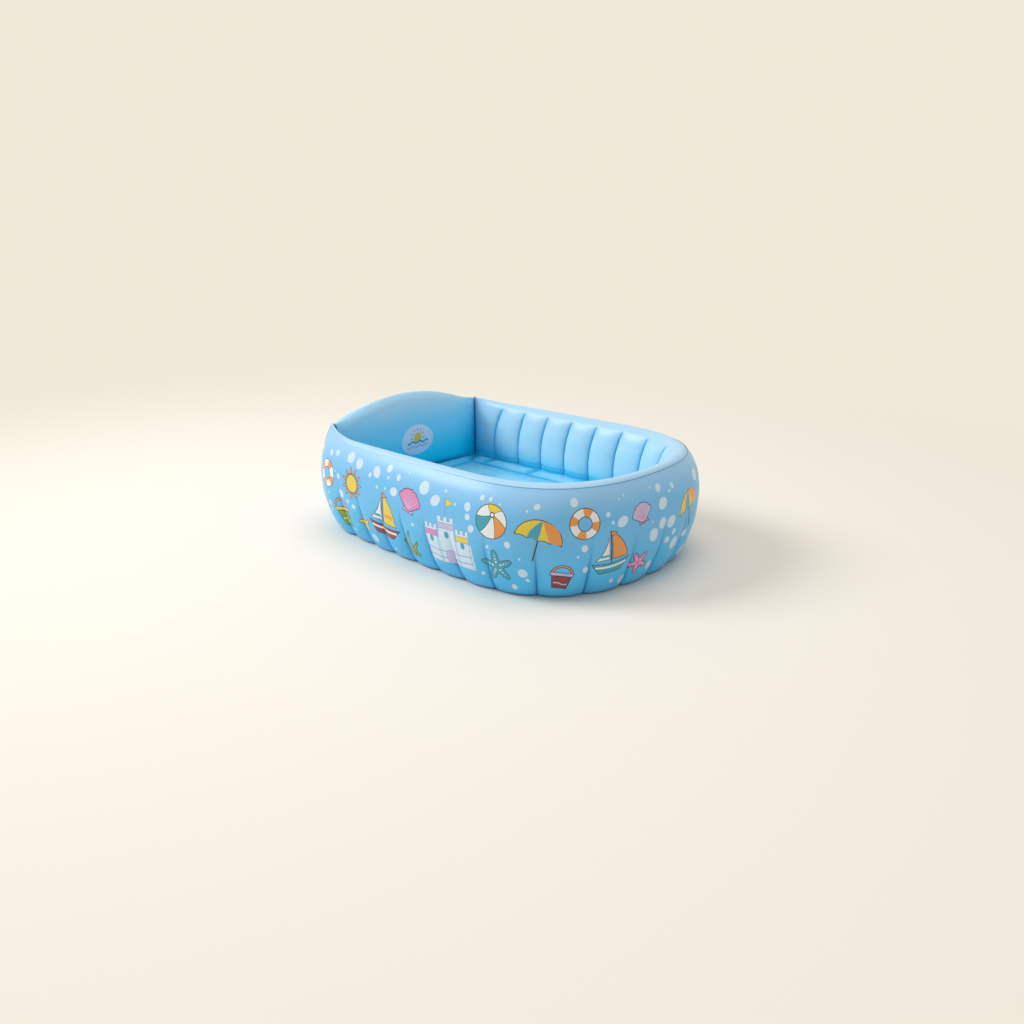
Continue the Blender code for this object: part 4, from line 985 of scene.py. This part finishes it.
# Down the face: shares of the rise from floor to arch, of the way across and of the bulge
FACE_SHARES = ((0.955, 0.99, 0.15), (0.82, 1.0, 0.62), (0.62, 1.0, 0.93), (0.42, 1.0, 1.0), (0.22, 1.0, 0.8),
               (0.08, 1.0, 0.42), (0.0, 1.0, 0.0))


def backrest_rows(stations):
    side = stations.inside[:, 1] / FLOOR_HALF_WIDTH
    crown = np.clip(1 - side**2, 0, 1)
    arch = NOTCH_HEIGHT + (ARCH_HEIGHT - NOTCH_HEIGHT) * crown - EAR_TILT * side * (1 - crown)
    rows = [stations.row(stations.thickness * across, SEAM_HEIGHT + (arch - SEAM_HEIGHT) * up)
            for up, across in ARCH_BACK_SHARES]
    for up, across, bulge in FACE_SHARES:
        swell = BACKREST_BULGE * bulge * np.sqrt(crown)
        rows.append(stations.row(stations.thickness * across + swell, FLOOR_HEIGHT + (arch - FLOOR_HEIGHT) * up))
    return lapped(stations, rows)


BACKREST_MARKS = section_marks(backrest_rows(head_stations(np.array([0.5]))))
_, BACK_SEAM, BACK_ARCH, BACK_FLOOR, BACK_END = BACKREST_MARKS[BACK_TURNS]


def on_backrest(columns, up):
    """Points on the backrest film, by share across the head end and distance along its section."""
    stations = head_stations(columns)
    rows = backrest_rows(stations)

    def smooth(up):
        return gathered(through(rows, BACKREST_MARKS, up), stations, up, BACKREST_MARKS[BACK_TURNS], columns < 0.5)

    along = NEAR_EAR * (2 * columns - 1) % OUTER.length
    return edge_welded(smooth(up), smooth(np.full(len(up), BACK_SEAM)), stations, along, up, BACK_SEAM)


HEAD_WIDTH = 2 * FLOOR_HALF_WIDTH
towards_ears = 0.5 - 0.5 * np.cos(np.linspace(0, math.pi, 161))
head_columns = 0.65 * towards_ears + 0.35 * np.linspace(0, 1, 161)
head_up = np.concatenate([np.linspace(0, BACK_FLOOR, 84)[:-1], np.linspace(BACK_FLOOR, BACK_END, 10)])
emblem_middle = (0.475 * HEAD_WIDTH, BACK_ARCH + 0.131)
emblem = [("bubble_edge", oval(0.0615, 0.0405, count=64)), ("bubble", oval(0.0603, 0.0393, count=64))]
emblem.append(("yellow", oval(0.0150, x=0.0, y=-0.005, count=40)))
for k in range(7):
    angle = math.pi + math.pi * k / 6
    spoke = np.array([math.cos(angle), math.sin(angle)])
    emblem.append(("pink", brushed(np.array([spoke * 0.0185, spoke * 0.0225, spoke * 0.0265]) + (0, -0.005), 0.0036)))
for low, ink in ((0.0055, "teal"), (0.0165, "lilac")):
    sway = np.linspace(-0.039, 0.039, 60)
    emblem.append((ink, brushed(np.column_stack([sway, low + 0.0024 * np.sin(sway * math.tau / 0.026)]), 0.0052)))
emblem = [(ink, shape + emblem_middle) for ink, shape in emblem]
plan, faces, looks = cut_film(HEAD_WIDTH * head_columns, head_up, [], emblem)
points = on_backrest(plan[:, 0] / HEAD_WIDTH, plan[:, 1])
from_ear = np.minimum(plan[:, 0], HEAD_WIDTH - plan[:, 0])
# Painted shade in the ears' corners, widening on the way down
painted_shades = ear_shade(from_ear, plan[:, 1] - BACK_ARCH, 0.010, 0.20)
backrest = film_piece("backrest_pillow", points, faces, looks, painted_shades)
# Painted light and shade by height: deep saturated blue low on the face, paler towards the arch where light falls
BACKREST_PAINTED_LIGHT = ((0.110, 0.230, (0.20, 0.68, 1.0)), (0.215, 0.290, (0.40, 0.70, 0.96)))
backrest_finish = painted_light_film("backrest_finish", (0.0, 0.74, 1.0), BACKREST_PAINTED_LIGHT, (0.0, 0.38, 0.70))
dressed(backrest, backrest_finish, "backrest_film")
for ink in INK_NAMES[1:]:
    backrest.data.materials.append(bpy.data.materials[f"ink_{ink}"])


# Rim weld: where the outer film meets the rim film and the backrest film, the press leaves one thin raised
# bead of melted PVC all the way round. A finer one runs round the floor.

WELD_SLOPE = math.radians(46)
RIM_BEAD_WIDTH, RIM_BEAD_THICKNESS = 0.0020, 0.0011


def skinned(name, rings, capped=False):
    """A closed piece from rings of points, joined in a loop or capped at both ends."""
    here = np.arange(rings.shape[0] * rings.shape[1]).reshape(rings.shape[:2])
    after = np.roll(here, -1, axis=1)
    quads = np.stack([here, np.roll(here, -1, axis=0), np.roll(after, -1, axis=0), after], axis=-1)
    faces = quads[: len(here) - capped].reshape(-1, 4).tolist()
    if capped:
        faces += [here[0].tolist(), here[-1].tolist()]
    return added(name, rings.reshape(-1, 3), faces, outwards=True)


def round_ahead(line):
    """The direction along a closed line, at each of its points."""
    return unit(np.roll(line, -1, axis=0) - np.roll(line, 1, axis=0))


def bead(name, line, aside, out, wide, thick, around):
    """A flattened round bead along a closed line."""
    turn = np.linspace(0, math.tau, around, endpoint=False)[:, None]
    return skinned(name, line[:, None] + (aside * wide / 2)[:, None] * np.cos(turn)
                   + (out * thick / 2)[:, None] * np.sin(turn))


line = on_outer_film(round_marks[:-1], np.full(len(round_marks) - 1, OUTER_TOP))
ahead = round_ahead(line)
aside = unit(np.cross((0, 0, 1), ahead)) * math.cos(WELD_SLOPE) + np.array((0, 0, math.sin(WELD_SLOPE)))
rim_weld = bead("rim_weld_bead", line, aside, np.cross(ahead, aside), RIM_BEAD_WIDTH, RIM_BEAD_THICKNESS, 12)
weld_finish = Finish("weld_bead", (0.33, 0.58, 0.80), 0.4, 0.1)
# Painted shade: the bead is pale at the head end and dark towards the foot end, with a random wobble
from_head = weld_finish.node("ShaderNodeSeparateXYZ", {}, {"Vector": weld_finish.place()}, "X")
painted_foot_shade = weld_finish.ramp(from_head + weld_finish.noise(60.0, 3.0) * 0.1, -0.05, 0.35)
weld_finish.set("Base Color", weld_finish.blend(painted_foot_shade, (0.38, 0.64, 0.86), (0.10, 0.30, 0.55)))
weld_finish.relief(weld_finish.noise(420.0, 2.0), 0.0002)
dressed(rim_weld, weld_finish.material)


# Corner pleats: at both ears a sheet of film stands across the wall and keeps the wall's air from the
# backrest's. All the films are welded to it, and its edge shows as a narrow fin down the inner corner.

PLEAT_THICKNESS = 0.0022
PLEAT_FIN = 0.0045
FIN_STARTS_OVER, FIN_ENDS_OVER = 0.008, 0.02


def plate_of_film(name, here, outer_side, inner_side, thickness):
    """A flat sheet across the wall, between two lines of reaches inwards and heights."""
    corners = np.concatenate([outer_side, inner_side])
    flat, faces = triangles(corners, [], [list(range(len(corners)))], 1)
    points = np.array((*here.outside[0], 0)) + flat[:, :1] * np.array((*here.across[0], 0))
    points[:, 2] = flat[:, 1]
    return film_piece(name, points, faces, thickness=thickness)


def reaches(points, here):
    """Reaches inwards and heights of points that lie across the wall at a station."""
    return np.column_stack([(points[:, :2] - here.outside[0]) @ here.across[0], points[:, 2]])


# The pleat's film is painted near-black blue as painted shade down the deep inner corner, a little paler near its top
pleat_shade_finish = painted_light_film("pleat_painted_shade", (0.0, 0.10, 0.30), ((0.20, 0.27, (0.02, 0.22, 0.50)),), (0.02, 0.2, 0.5))
for name, side, along in (("near", 0, NEAR_EAR), ("far", 1, OUTER.length - NEAR_EAR)):
    here = side_stations(np.array([0.0, PANELS])[[side]])
    up = np.linspace(HEM_REACH + 0.002, OUTER_TOP, 40)
    outer_side = reaches(on_outer_film(np.full(40, along), up), here) + (FILM, 0)
    up = np.linspace(EAR_SEAM, EAR_END, 90)
    inner_side = reaches(ear_line(side, up), here)
    fin = PLEAT_FIN * np.clip(np.minimum((up - EAR_POINT) / FIN_STARTS_OVER, (EAR_FLOOR - up) / FIN_ENDS_OVER), 0, 1)
    inner_side += beside(inner_side) * fin[:, None] - (0, 1.2 * FILM)
    pleat = plate_of_film(f"corner_pleat_{name}", here, outer_side, inner_side, PLEAT_THICKNESS)
    dressed(pleat, pleat_shade_finish, f"corner_divider_{name}")


# Wall webs: upright ties of the same film across the inside of the wall, one at each crease. They are welded
# to the outer film below its widest line and to the rim film from under the crest down to the bottom.


def mottled(name, scale, shade, colour, roughness, coat=0.0, coat_roughness=0.15, grain=None):
    """A finish that wanders between two shades. Its grain is a scale, a detail and a depth."""
    finish = Finish(name, colour, roughness, coat, coat_roughness)
    finish.set("Base Color", finish.blend(finish.noise(scale), shade, colour))
    if grain:
        finish.relief(finish.noise(*grain[:2]), grain[2])
    return finish.material


web_finish = mottled("web_film", 14.0, (0.15, 0.45, 0.75), (0.26, 0.58, 0.84), 0.36)
for web in range(1, PANELS):
    here = side_stations(np.array([float(web)]))
    up = np.linspace(OUTER_MARKS[1] + 0.002, OUTER_MARKS[4], 20)
    outer_side = reaches(on_outer_film(np.full(20, WEB_MARKS_OUTSIDE[web]), up), here) + (FILM, 0)
    down = np.linspace(RIM_CREST + 0.03, RIM_END - 0.002, 50)
    inner_side = reaches(on_rim_film(np.full(50, float(web)), down)[0], here) - (FILM, 0)
    plate = plate_of_film(f"tie_web_{web:02d}", here, outer_side, inner_side, FILM)
    dressed(plate, web_finish, f"wall_web_{web:02d}")


# Floor: an air cushion between a flat bottom film and a top film. Weld lines over its webs quilt the top into
# a border of pads, mitred at the head corners, and three lengthwise channels.

BORDER_PAD = 0.055
PAD_CROWN = 0.0075
CHANNEL_CROWN = 0.010
CHANNEL_WELD_OFFSET = 0.062
CROSS_WELD_EVERY = 2
WELD_FLAT = 0.0013
WRINKLE_DEPTH, WRINKLE_CLEAR = 0.0006, 0.02
TOP_SPACING, BOTTOM_SPACING, WELD_SPACING = 0.0042, 0.02, 0.005
FLOOR_BEAD_WIDTH, FLOOR_BEAD_THICKNESS, FLOOR_BEAD_RISE = 0.0028, 0.0012, 0.0003
FLOOR_VALVE = Axis((-0.150, -0.125, 0.100175), (0, 0, 1), (1, 0, 0))
DRAIN = Axis((0.235, 0, 0.100175), (0, 0, 1), (-1, 0, 0))
DRAIN_FLANGE_RADIUS = 0.025
DRAIN_HOLE_RADIUS = 0.0193
FLAT_SPOTS = ((FLOOR_VALVE.origin[:2], VALVE_FLANGE_RADIUS + 0.004), (DRAIN.origin[:2], DRAIN_FLANGE_RADIUS + 0.004))

inner_head = INNER_CORNER_DEPTH - TUB_LENGTH / 2
border_head = inner_head - BACKREST_BOW + BORDER_PAD
border_half = FLOOR_HALF_WIDTH - BORDER_PAD
border_length = FOOT_LENGTH - WALL_THICKNESS - BORDER_PAD
border_foot = foot_end(border_length, border_half)
BORDER = Outline(mirrored(np.concatenate([[(border_head, 0), (border_head, -border_half)], border_foot])))


def stretch(line, spacing):
    """The same line with evenly spaced points."""
    outline = Outline(line)
    return outline.at(np.linspace(0, outline.length, max(2, round(outline.length / spacing) + 1)))


channel_share = (1 - (CHANNEL_WELD_OFFSET / border_half) ** FOOT_POWER) ** (1 / FOOT_POWER)
channel_foot = FOOT_START + border_length * channel_share
channel_welds = [[(x, side * CHANNEL_WELD_OFFSET) for x in (border_head, channel_foot)] for side in (-1, 1)]
cross_welds = [[(inner_head, side * FLOOR_HALF_WIDTH), (border_head, side * border_half)] for side in (-1, 1)]
dense = BORDER.at(np.linspace(0, BORDER.length, 2000))
for web in range(1 + CROSS_WELD_EVERY, PANELS, CROSS_WELD_EVERY):
    wall = INNER.at([PITCH * web])[0]
    cross_welds.append([tuple(wall), tuple(dense[np.linalg.norm(dense - wall, axis=1).argmin()])])


def closed(line):
    return np.concatenate([line, line[:1]])


def to_lines(points, lines, batch=4000):
    """The distance from each point to the nearest of these lines."""
    starts = np.concatenate([np.asarray(line, float)[:-1] for line in lines])
    run = np.concatenate([np.asarray(line, float)[1:] for line in lines]) - starts
    least = []
    for first in range(0, len(points), batch):
        reach = points[first : first + batch, None] - starts
        share = np.clip((reach * run).sum(axis=2) / np.maximum((run**2).sum(axis=1), 1e-12), 0, 1)
        least.append(np.linalg.norm(reach - share[..., None] * run, axis=2).min(axis=1))
    return np.concatenate(least)


wall_foot = on_rim_film(rim_columns, np.full(len(rim_columns), RIM_FLOOR))[0]
backrest_foot = on_backrest(head_columns[1:-1], np.full(len(head_columns) - 2, BACK_FLOOR))
floor_line = np.concatenate([wall_foot, backrest_foot])
floor_edge = floor_line[:, :2]


def floor_height(plan):
    """Heights of the blown-up top film, and how near each point is to a weld line, which sets the shade painted along
    the welded grooves.
    """
    border = stretch(BORDER.points, 0.012)
    to_edge = to_lines(plan, [closed(floor_edge)])
    inside = inside_of(plan, border)
    to_others = np.where(inside, to_lines(plan, channel_welds), to_lines(plan, cross_welds))
    to_weld = np.minimum(to_lines(plan, [border]), to_others)
    pad = np.clip(np.minimum(to_weld - WELD_FLAT, to_edge) / (BORDER_PAD / 2), 0, 1)
    channel = np.clip((to_weld - WELD_FLAT) / CHANNEL_WELD_OFFSET, 0, 1)
    rise = np.where(inside, CHANNEL_CROWN * (1 - (1 - channel) ** 2), PAD_CROWN * (1 - (1 - pad) ** 2))
    x, y = plan.T
    sway = np.sin(131 * x + 3 * np.sin(47 * y)) * np.sin(113 * y + 2.2 * np.sin(59 * x + 1))
    held = np.clip(np.minimum(to_weld, to_edge) / WRINKLE_CLEAR, 0, 1)
    for centre, radius in FLAT_SPOTS:
        past = np.linalg.norm(plan - centre, axis=1) - radius
        rise = rise + (CHANNEL_CROWN - rise) * near(past, radius)
        held *= np.clip(past / radius, 0, 1)
    return FLOOR_HEIGHT + rise + WRINKLE_DEPTH * sway * held, np.clip(1.8 - to_weld / WELD_FLAT, 0, 1)


def floor_sheet(name, edge, holes, spacing, lines=(), height=None):
    """A film cut to a closed edge, with round holes. Lines are kept as edges in it."""
    points, edges = [], []
    for loop in (edge, *holes):
        edges += loop_edges(len(points), len(loop))
        points += [*loop]
    for line in lines:
        edges += [(k, k + 1) for k in range(len(points), len(points) + len(line) - 1)]
        points += [*line]
    low, high = edge.min(axis=0), edge.max(axis=0)
    grid = np.array(np.meshgrid(*(np.arange(low[k], high[k], spacing) for k in (0, 1)))).reshape(2, -1).T
    kept = inside_of(grid, edge) & (to_lines(grid, [*lines, closed(edge)]) > 0.4 * spacing)
    plan, faces = triangles([*points, *grid[kept]], edges)
    middles = plan[faces].mean(axis=1)
    kept = inside_of(middles, edge)
    for hole in holes:
        kept &= ~inside_of(middles, hole)
    heights, painted_shades = height(plan) if height else (np.full(len(plan), FILM / 2), None)
    return film_piece(name, np.column_stack([plan, heights]), faces[kept], None, painted_shades)


weld_lines = []
for line in [BORDER.points, *channel_welds, *cross_welds]:
    line = stretch(line, WELD_SPACING)
    weld_lines += [line + beside(line) * side * WELD_FLAT for side in (-1, 1)]
weld_lines = [line[inside_of(line, floor_edge)] for line in weld_lines]
drain_hole = oval(DRAIN_HOLE_RADIUS, x=DRAIN.origin[0], count=48)
valve_hole = oval(VALVE_HOLE_RADIUS, x=FLOOR_VALVE.origin[0], y=FLOOR_VALVE.origin[1], count=48)
floor_top = floor_sheet(
    "quilted_floor_film", floor_edge, [valve_hole, drain_hole], TOP_SPACING, weld_lines, floor_height
)
# Painted light and shade by height: the pads' crowns paler, the welded grooves deeper
FLOOR_PAINTED_LIGHT = ((0.088, 0.101, (0.20, 0.60, 0.88)),)
floor_finish = painted_light_film("floor_film", (0.040, 0.45, 0.80), FLOOR_PAINTED_LIGHT, (0.02, 0.33, 0.66), 0.22, 0.5)
dressed(floor_top, floor_finish, "floor_top_film")

level = np.tile((0.0, 0.0, 1.0), (len(floor_line), 1))
sideways = np.cross(level, round_ahead(floor_line))
floor_weld = bead("floor_weld_bead", floor_line + (0, 0, FLOOR_BEAD_RISE), sideways, level,
                  FLOOR_BEAD_WIDTH, FLOOR_BEAD_THICKNESS, 8)
floor_weld_finish = mottled("floor_weld", 70.0, (0.16, 0.50, 0.78), (0.30, 0.64, 0.86), 0.3, 0.3)
dressed(floor_weld, floor_weld_finish)

hem_marks = round_marks[:-1:2]
hem_line = on_outer_film(hem_marks, np.full(len(hem_marks), OUTER_MARKS[1]))[:, :2]
floor_bottom = floor_sheet("bottom_film_flat", hem_line, [drain_hole], BOTTOM_SPACING)
bottom_finish = mottled(
    "bottom_film", 9.0, (0.10, 0.38, 0.68), (0.17, 0.48, 0.77), 0.42, 0.1, grain=(60.0, 3.0, 0.0004)
)
dressed(floor_bottom, bottom_finish, "floor_bottom_film")

for node in ("floor_border_web", "floor_web_near", "floor_web_far"):
    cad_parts[node].data.materials.clear()
    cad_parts[node].data.materials.append(web_finish)


# Valves: one for each air chamber. A soft moulded seat is welded to the film, and the stem pushes in flush
# once the plug is in. A flap at its inner end holds the air, and a strap keeps the plug from getting lost.

TURN_COUNT = 64
PINHOLE = 1e-5
MILLIMETRE = 0.001
EASE_SHARES = (0, 0.28, 0.5, 0.72, 1)


def turned(name, axis, profile, solid=False):
    """A piece turned about its axis from points in millimetres: radius, height and how far the corner is eased."""
    profile, eased = np.array(profile) * MILLIMETRE, []
    corners = profile[:, :2]
    for k, (point, bevel) in enumerate(zip(corners, profile[:, 2])):
        if not bevel:
            eased.append(point)
            continue
        start, end = (point + unit(corners[other % len(corners)] - point) * bevel for other in (k - 1, k + 1))
        eased += [(1 - t) ** 2 * start + 2 * t * (1 - t) * point + t**2 * end for t in EASE_SHARES]
    turn = np.linspace(0, math.tau, TURN_COUNT, endpoint=False)
    rings = [np.column_stack([max(radius, PINHOLE) * np.cos(turn), max(radius, PINHOLE) * np.sin(turn),
                              np.full(TURN_COUNT, height)]) for radius, height in eased]
    return skinned(name, axis.placed(rings), capped=solid)


RIBBON_SECTION = np.array([(-1, 0), (-0.93, 0.8), (-0.8, 1), (0.8, 1), (0.93, 0.8), (1, 0), (0.93, -0.8), (0.8, -1),
                           (-0.8, -1), (-0.93, -0.8)])


def ribbon(name, axis, route, wide, thick):
    """A flat strap with rounded edges, along a route of (sideways, up) points in millimetres."""
    route = np.array([route[0], *route, route[-1]]) * MILLIMETRE
    line = through(route[:, None], np.arange(-1, len(route) - 1), np.arange(8 * (len(route) - 3) + 1) / 8)
    flat = line[:, None] + beside(line)[:, None] * RIBBON_SECTION[:, 1:] * thick / 2
    aside = np.broadcast_to(RIBBON_SECTION[:, 0] * wide / 2, flat.shape[:2])
    return skinned(name, axis.placed(np.stack([flat[..., 0], aside, flat[..., 1]], axis=-1)), capped=True)


SEAT_PROFILE = ((6.8, -12, 0.3), (7.8, -12, 0.3), (7.8, 0.3, 0), (16.5, 0.3, 0.2), (16.5, 0.8, 0.2), (15, 1.1, 0.2),
                (12.8, 1.1, 0.2), (12.3, 0.8, 0.2), (11.2, 0.8, 0.2), (10.7, 1.2, 0.2), (6.8, 1.2, 0.3))
STEM_PROFILE = ((4.2, -23.6, 0.3), (7.8, -23.6, 0.4), (7.8, -22.3, 0.4), (6.5, -22.3, 0), (6.5, 1.5, 0),
                (8.4, 1.5, 0.3), (8.4, 3, 0.5), (4.2, 3, 0.4))
PLUG_PROFILE = ((0, -5.2, 0), (3.4, -5.2, 0.2), (3.9, -4.6, 0), (3.9, -2.4, 0.2), (3.6, -2, 0.2), (3.6, -1, 0.2),
                (3.9, -0.6, 0.2), (3.9, 3.3, 0), (6.4, 3.3, 0.3), (6.4, 4.9, 0.6), (4, 4.9, 0.3), (3.4, 4.4, 0.3),
                (0, 4.4, 0))
FLAP_PROFILE = ((0, -0.4, 0), (5.6, -0.4, 0.2), (5.6, 0.4, 0.2), (4.4, 0.4, 0.1), (4.1, 0.2, 0.1), (0, 0.2, 0))
FLAP_HEIGHT = -0.0243
STRAP_ROUTE = ((7.8, 2.25), (11, 2.25), (13.9, 2.25), (15.5, 3.18), (13.9, 4.1), (11, 4.1), (6, 4.1))
STRAP_WIDTH, STRAP_THICKNESS = 0.0040, 0.0008
STRAP_START, STRAP_END = 0.00245, 0.0039
VINYLS = {
    "seat": ((0.50, 0.68, 0.80), (0.62, 0.76, 0.85), 0.30),
    "stem": ((0.60, 0.73, 0.83), (0.70, 0.80, 0.87), 0.30),
    "flap": ((0.46, 0.62, 0.74), (0.55, 0.70, 0.80), 0.40),
    "plug": ((0.64, 0.76, 0.84), (0.74, 0.83, 0.88), 0.30),
}
vinyl = {part: mottled(f"valve_{part}_vinyl", 130.0, *look, 0.25, 0.2, (900.0, 2.0, 0.00006))
         for part, look in VINYLS.items()}


def tethered(strap, axis, low, high):
    """The strap's placing is baked into its points."""
    start, end = axis.placed([(0, 0, low), (0, 0, high)])
    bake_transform(strap)


for prefix, axis in (("wall", WALL_VALVE), ("backrest", BACKREST_VALVE), ("floor", FLOOR_VALVE)):
    hinge = Axis(axis.placed([(0, 0, FLAP_HEIGHT)])[0], axis.outward, axis.frame[0])
    pieces = {
        "seat": turned(f"{prefix}_valve_flange", axis, SEAT_PROFILE),
        "stem": turned(f"{prefix}_valve_tube", axis, STEM_PROFILE),
        "plug": turned(f"{prefix}_valve_stopper", axis, PLUG_PROFILE, solid=True),
        "flap": turned(f"{prefix}_valve_leaf", hinge, FLAP_PROFILE, solid=True),
    }
    for part, piece in pieces.items():
        node = f"{prefix}_valve_{part}"
        dressed(piece, vinyl[part], node, "tub" if part == "seat" else node)
    strap = ribbon(f"{prefix}_valve_tether", axis, STRAP_ROUTE, STRAP_WIDTH, STRAP_THICKNESS)
    strap.data.materials.append(vinyl["stem"])
    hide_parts(f"{prefix}_valve_strap")
    tethered(strap, axis, STRAP_START, STRAP_END)


# Drain: a socket through the floor, welded to both of its films, and a plug that presses into its top.

SOCKET_PROFILE = ((8.5, -99.5, 0.3), (25, -99.5, 0.3), (25, -98.5, 0.3), (10.5, -98.5, 0), (10.5, 0.3, 0),
                  (25, 0.3, 0.2), (25, 0.9, 0.2), (23.6, 1.2, 0.2), (21.2, 1.2, 0.2), (20.6, 0.9, 0.2),
                  (19, 0.9, 0.2), (18.4, 1.3, 0.2), (8.5, 1.3, 0.4))
DRAIN_PLUG_PROFILE = ((0, -10.4, 0), (7.4, -10.4, 0.3), (8.2, -9.6, 0), (8.2, -6.2, 0.3), (7.8, -5.6, 0.2),
                      (7.8, -4, 0.2), (8.2, -3.4, 0.3), (8.2, 1.6, 0), (12.5, 1.6, 0.5), (12.5, 3.8, 0.8),
                      (8.6, 3.8, 0.4), (7.8, 3, 0.4), (0, 3, 0))
DRAIN_STRAP_ROUTE = ((14.5, 1.95), (17.5, 2), (19.9, 2), (21.5, 2.8), (19.9, 3.6), (16.5, 3.6), (11.8, 3.4))
DRAIN_STRAP_THICKNESS = 0.0007
DRAIN_STRAP_START, DRAIN_STRAP_END = 0.0022, 0.0034
socket = turned("drain_socket_turned", DRAIN, SOCKET_PROFILE)
dressed(socket, vinyl["seat"], "drain_socket")
drain_plug = turned("drain_stopper", DRAIN, DRAIN_PLUG_PROFILE, solid=True)
dressed(drain_plug, vinyl["plug"], "drain_plug", "drain_plug")
drain_strap = ribbon("drain_tether", DRAIN, DRAIN_STRAP_ROUTE, STRAP_WIDTH, DRAIN_STRAP_THICKNESS)
drain_strap.data.materials.append(vinyl["stem"])
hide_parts("drain_strap")
tethered(drain_strap, DRAIN, DRAIN_STRAP_START, DRAIN_STRAP_END)


# Studio: a seamless sweep of cream paper, a broad soft lamp from the upper left and a paler one from above.
# Well away from the tub the paper and the backdrop are one even cream, so that no line shows between them.

BACKDROP = (0.865, 0.820, 0.690)
PAPER = (0.900, 0.872, 0.815)
EVEN_FROM, EVEN_BEYOND = 0.7, 2.6
SWEEP_RADIUS = 40.0
round_about = np.linspace(0, math.tau, 96, endpoint=False)
floor_mesh = bpy.data.meshes.new("studio_floor")
sweep_rim = [(SWEEP_RADIUS * math.cos(turn), SWEEP_RADIUS * math.sin(turn), 0) for turn in round_about]
floor_mesh.from_pydata(sweep_rim, [], [tuple(range(len(sweep_rim)))])
studio_floor = bpy.data.objects.new("studio_floor", floor_mesh)
bpy.context.scene.collection.objects.link(studio_floor)
paper = Finish("studio_paper", PAPER, 0.8, Specular_IOR_Level=0.1)


def seen_rays(tree):
    """1 for what the camera sees, straight on, in a gloss or through something clear."""
    path = tree.nodes.new("ShaderNodeLightPath")
    camera_ray, *others = (Wire(tree, path.outputs[f"Is {ray} Ray"]) for ray in ("Camera", "Glossy", "Transmission"))
    return camera_ray.sum("MAXIMUM", others[0]).sum("MAXIMUM", others[1])


from_tub = paper.node("ShaderNodeVectorMath", {"operation": "LENGTH"}, {0: paper.place()}, "Value")
even = paper.node("ShaderNodeEmission", {}, {"Color": (*BACKDROP, 1), "Strength": 1.0})
share = paper.ramp(from_tub, EVEN_FROM, EVEN_BEYOND) * seen_rays(paper.tree)
lit = paper.node("ShaderNodeMixShader", {}, {0: share, 1: Wire(paper.tree, paper.shader.outputs[0]), 2: even})
paper.tree.links.new(lit.socket, paper.tree.nodes["Material Output"].inputs["Surface"])
floor_mesh.materials.append(paper.material)

world = bpy.data.worlds.new("studio")
world.use_nodes = True
bpy.context.scene.world = world
tree = world.node_tree
sky = tree.nodes["Background"]
sky.inputs["Color"].default_value = (0.95, 0.89, 0.79, 1)
sky.inputs["Strength"].default_value = 0.53
backdrop = tree.nodes.new("ShaderNodeBackground")
backdrop.inputs["Color"].default_value = (*BACKDROP, 1)
either = tree.nodes.new("ShaderNodeMixShader")
tree.links.new(seen_rays(tree).socket, either.inputs[0])
tree.links.new(sky.outputs[0], either.inputs[1])
tree.links.new(backdrop.outputs[0], either.inputs[2])
tree.links.new(either.outputs[0], tree.nodes["World Output"].inputs["Surface"])


def soft_lamp(name, place, aim, size, power, colour):
    lamp = bpy.data.lights.new(name, "AREA")
    lamp.shape = "DISK"
    lamp.size = size
    lamp.energy = power
    lamp.color = colour
    made = bpy.data.objects.new(name, lamp)
    made.location = place
    made.rotation_euler = (Vector(aim) - Vector(place)).to_track_quat("-Z", "Y").to_euler()
    bpy.context.scene.collection.objects.link(made)


soft_lamp("key", (-3.7, -3.1, 3.9), (0, 0, 0.1), 2.8, 212, (0.98, 0.99, 1.0))
soft_lamp("top", (0.4, 0.6, 5.6), (0, 0, 0), 4.4, 92, (0.99, 0.99, 1.0))

# The camera of the photograph: 42 degrees round from the side and 18 degrees up, 2.4 m away
LOOKS_AT = (0, 0, 0.14)
DISTANCE, ASIDE, LOWERED = 2.429, 0.0026, 0.0758
azimuth, elevation = math.radians(41.98), math.radians(18.31)
level_back = Vector((math.sin(azimuth), -math.cos(azimuth), 0)) * math.cos(elevation)
back = level_back + Vector((0, 0, math.sin(elevation)))
right = Vector((math.cos(azimuth), math.sin(azimuth), 0))
upward = back.cross(right)
camera_data = bpy.data.cameras.new("camera")
camera_data.lens = 36 * 1022 / 1024
camera_data.sensor_width = 36
camera = bpy.data.objects.new("camera", camera_data)
camera.location = Vector(LOOKS_AT) + back * DISTANCE + right * ASIDE - upward * LOWERED
camera.rotation_euler = back.to_track_quat("Z", "Y").to_euler()
bpy.context.scene.collection.objects.link(camera)
bpy.context.scene.camera = camera
bpy.context.scene.view_settings.view_transform = "Standard"
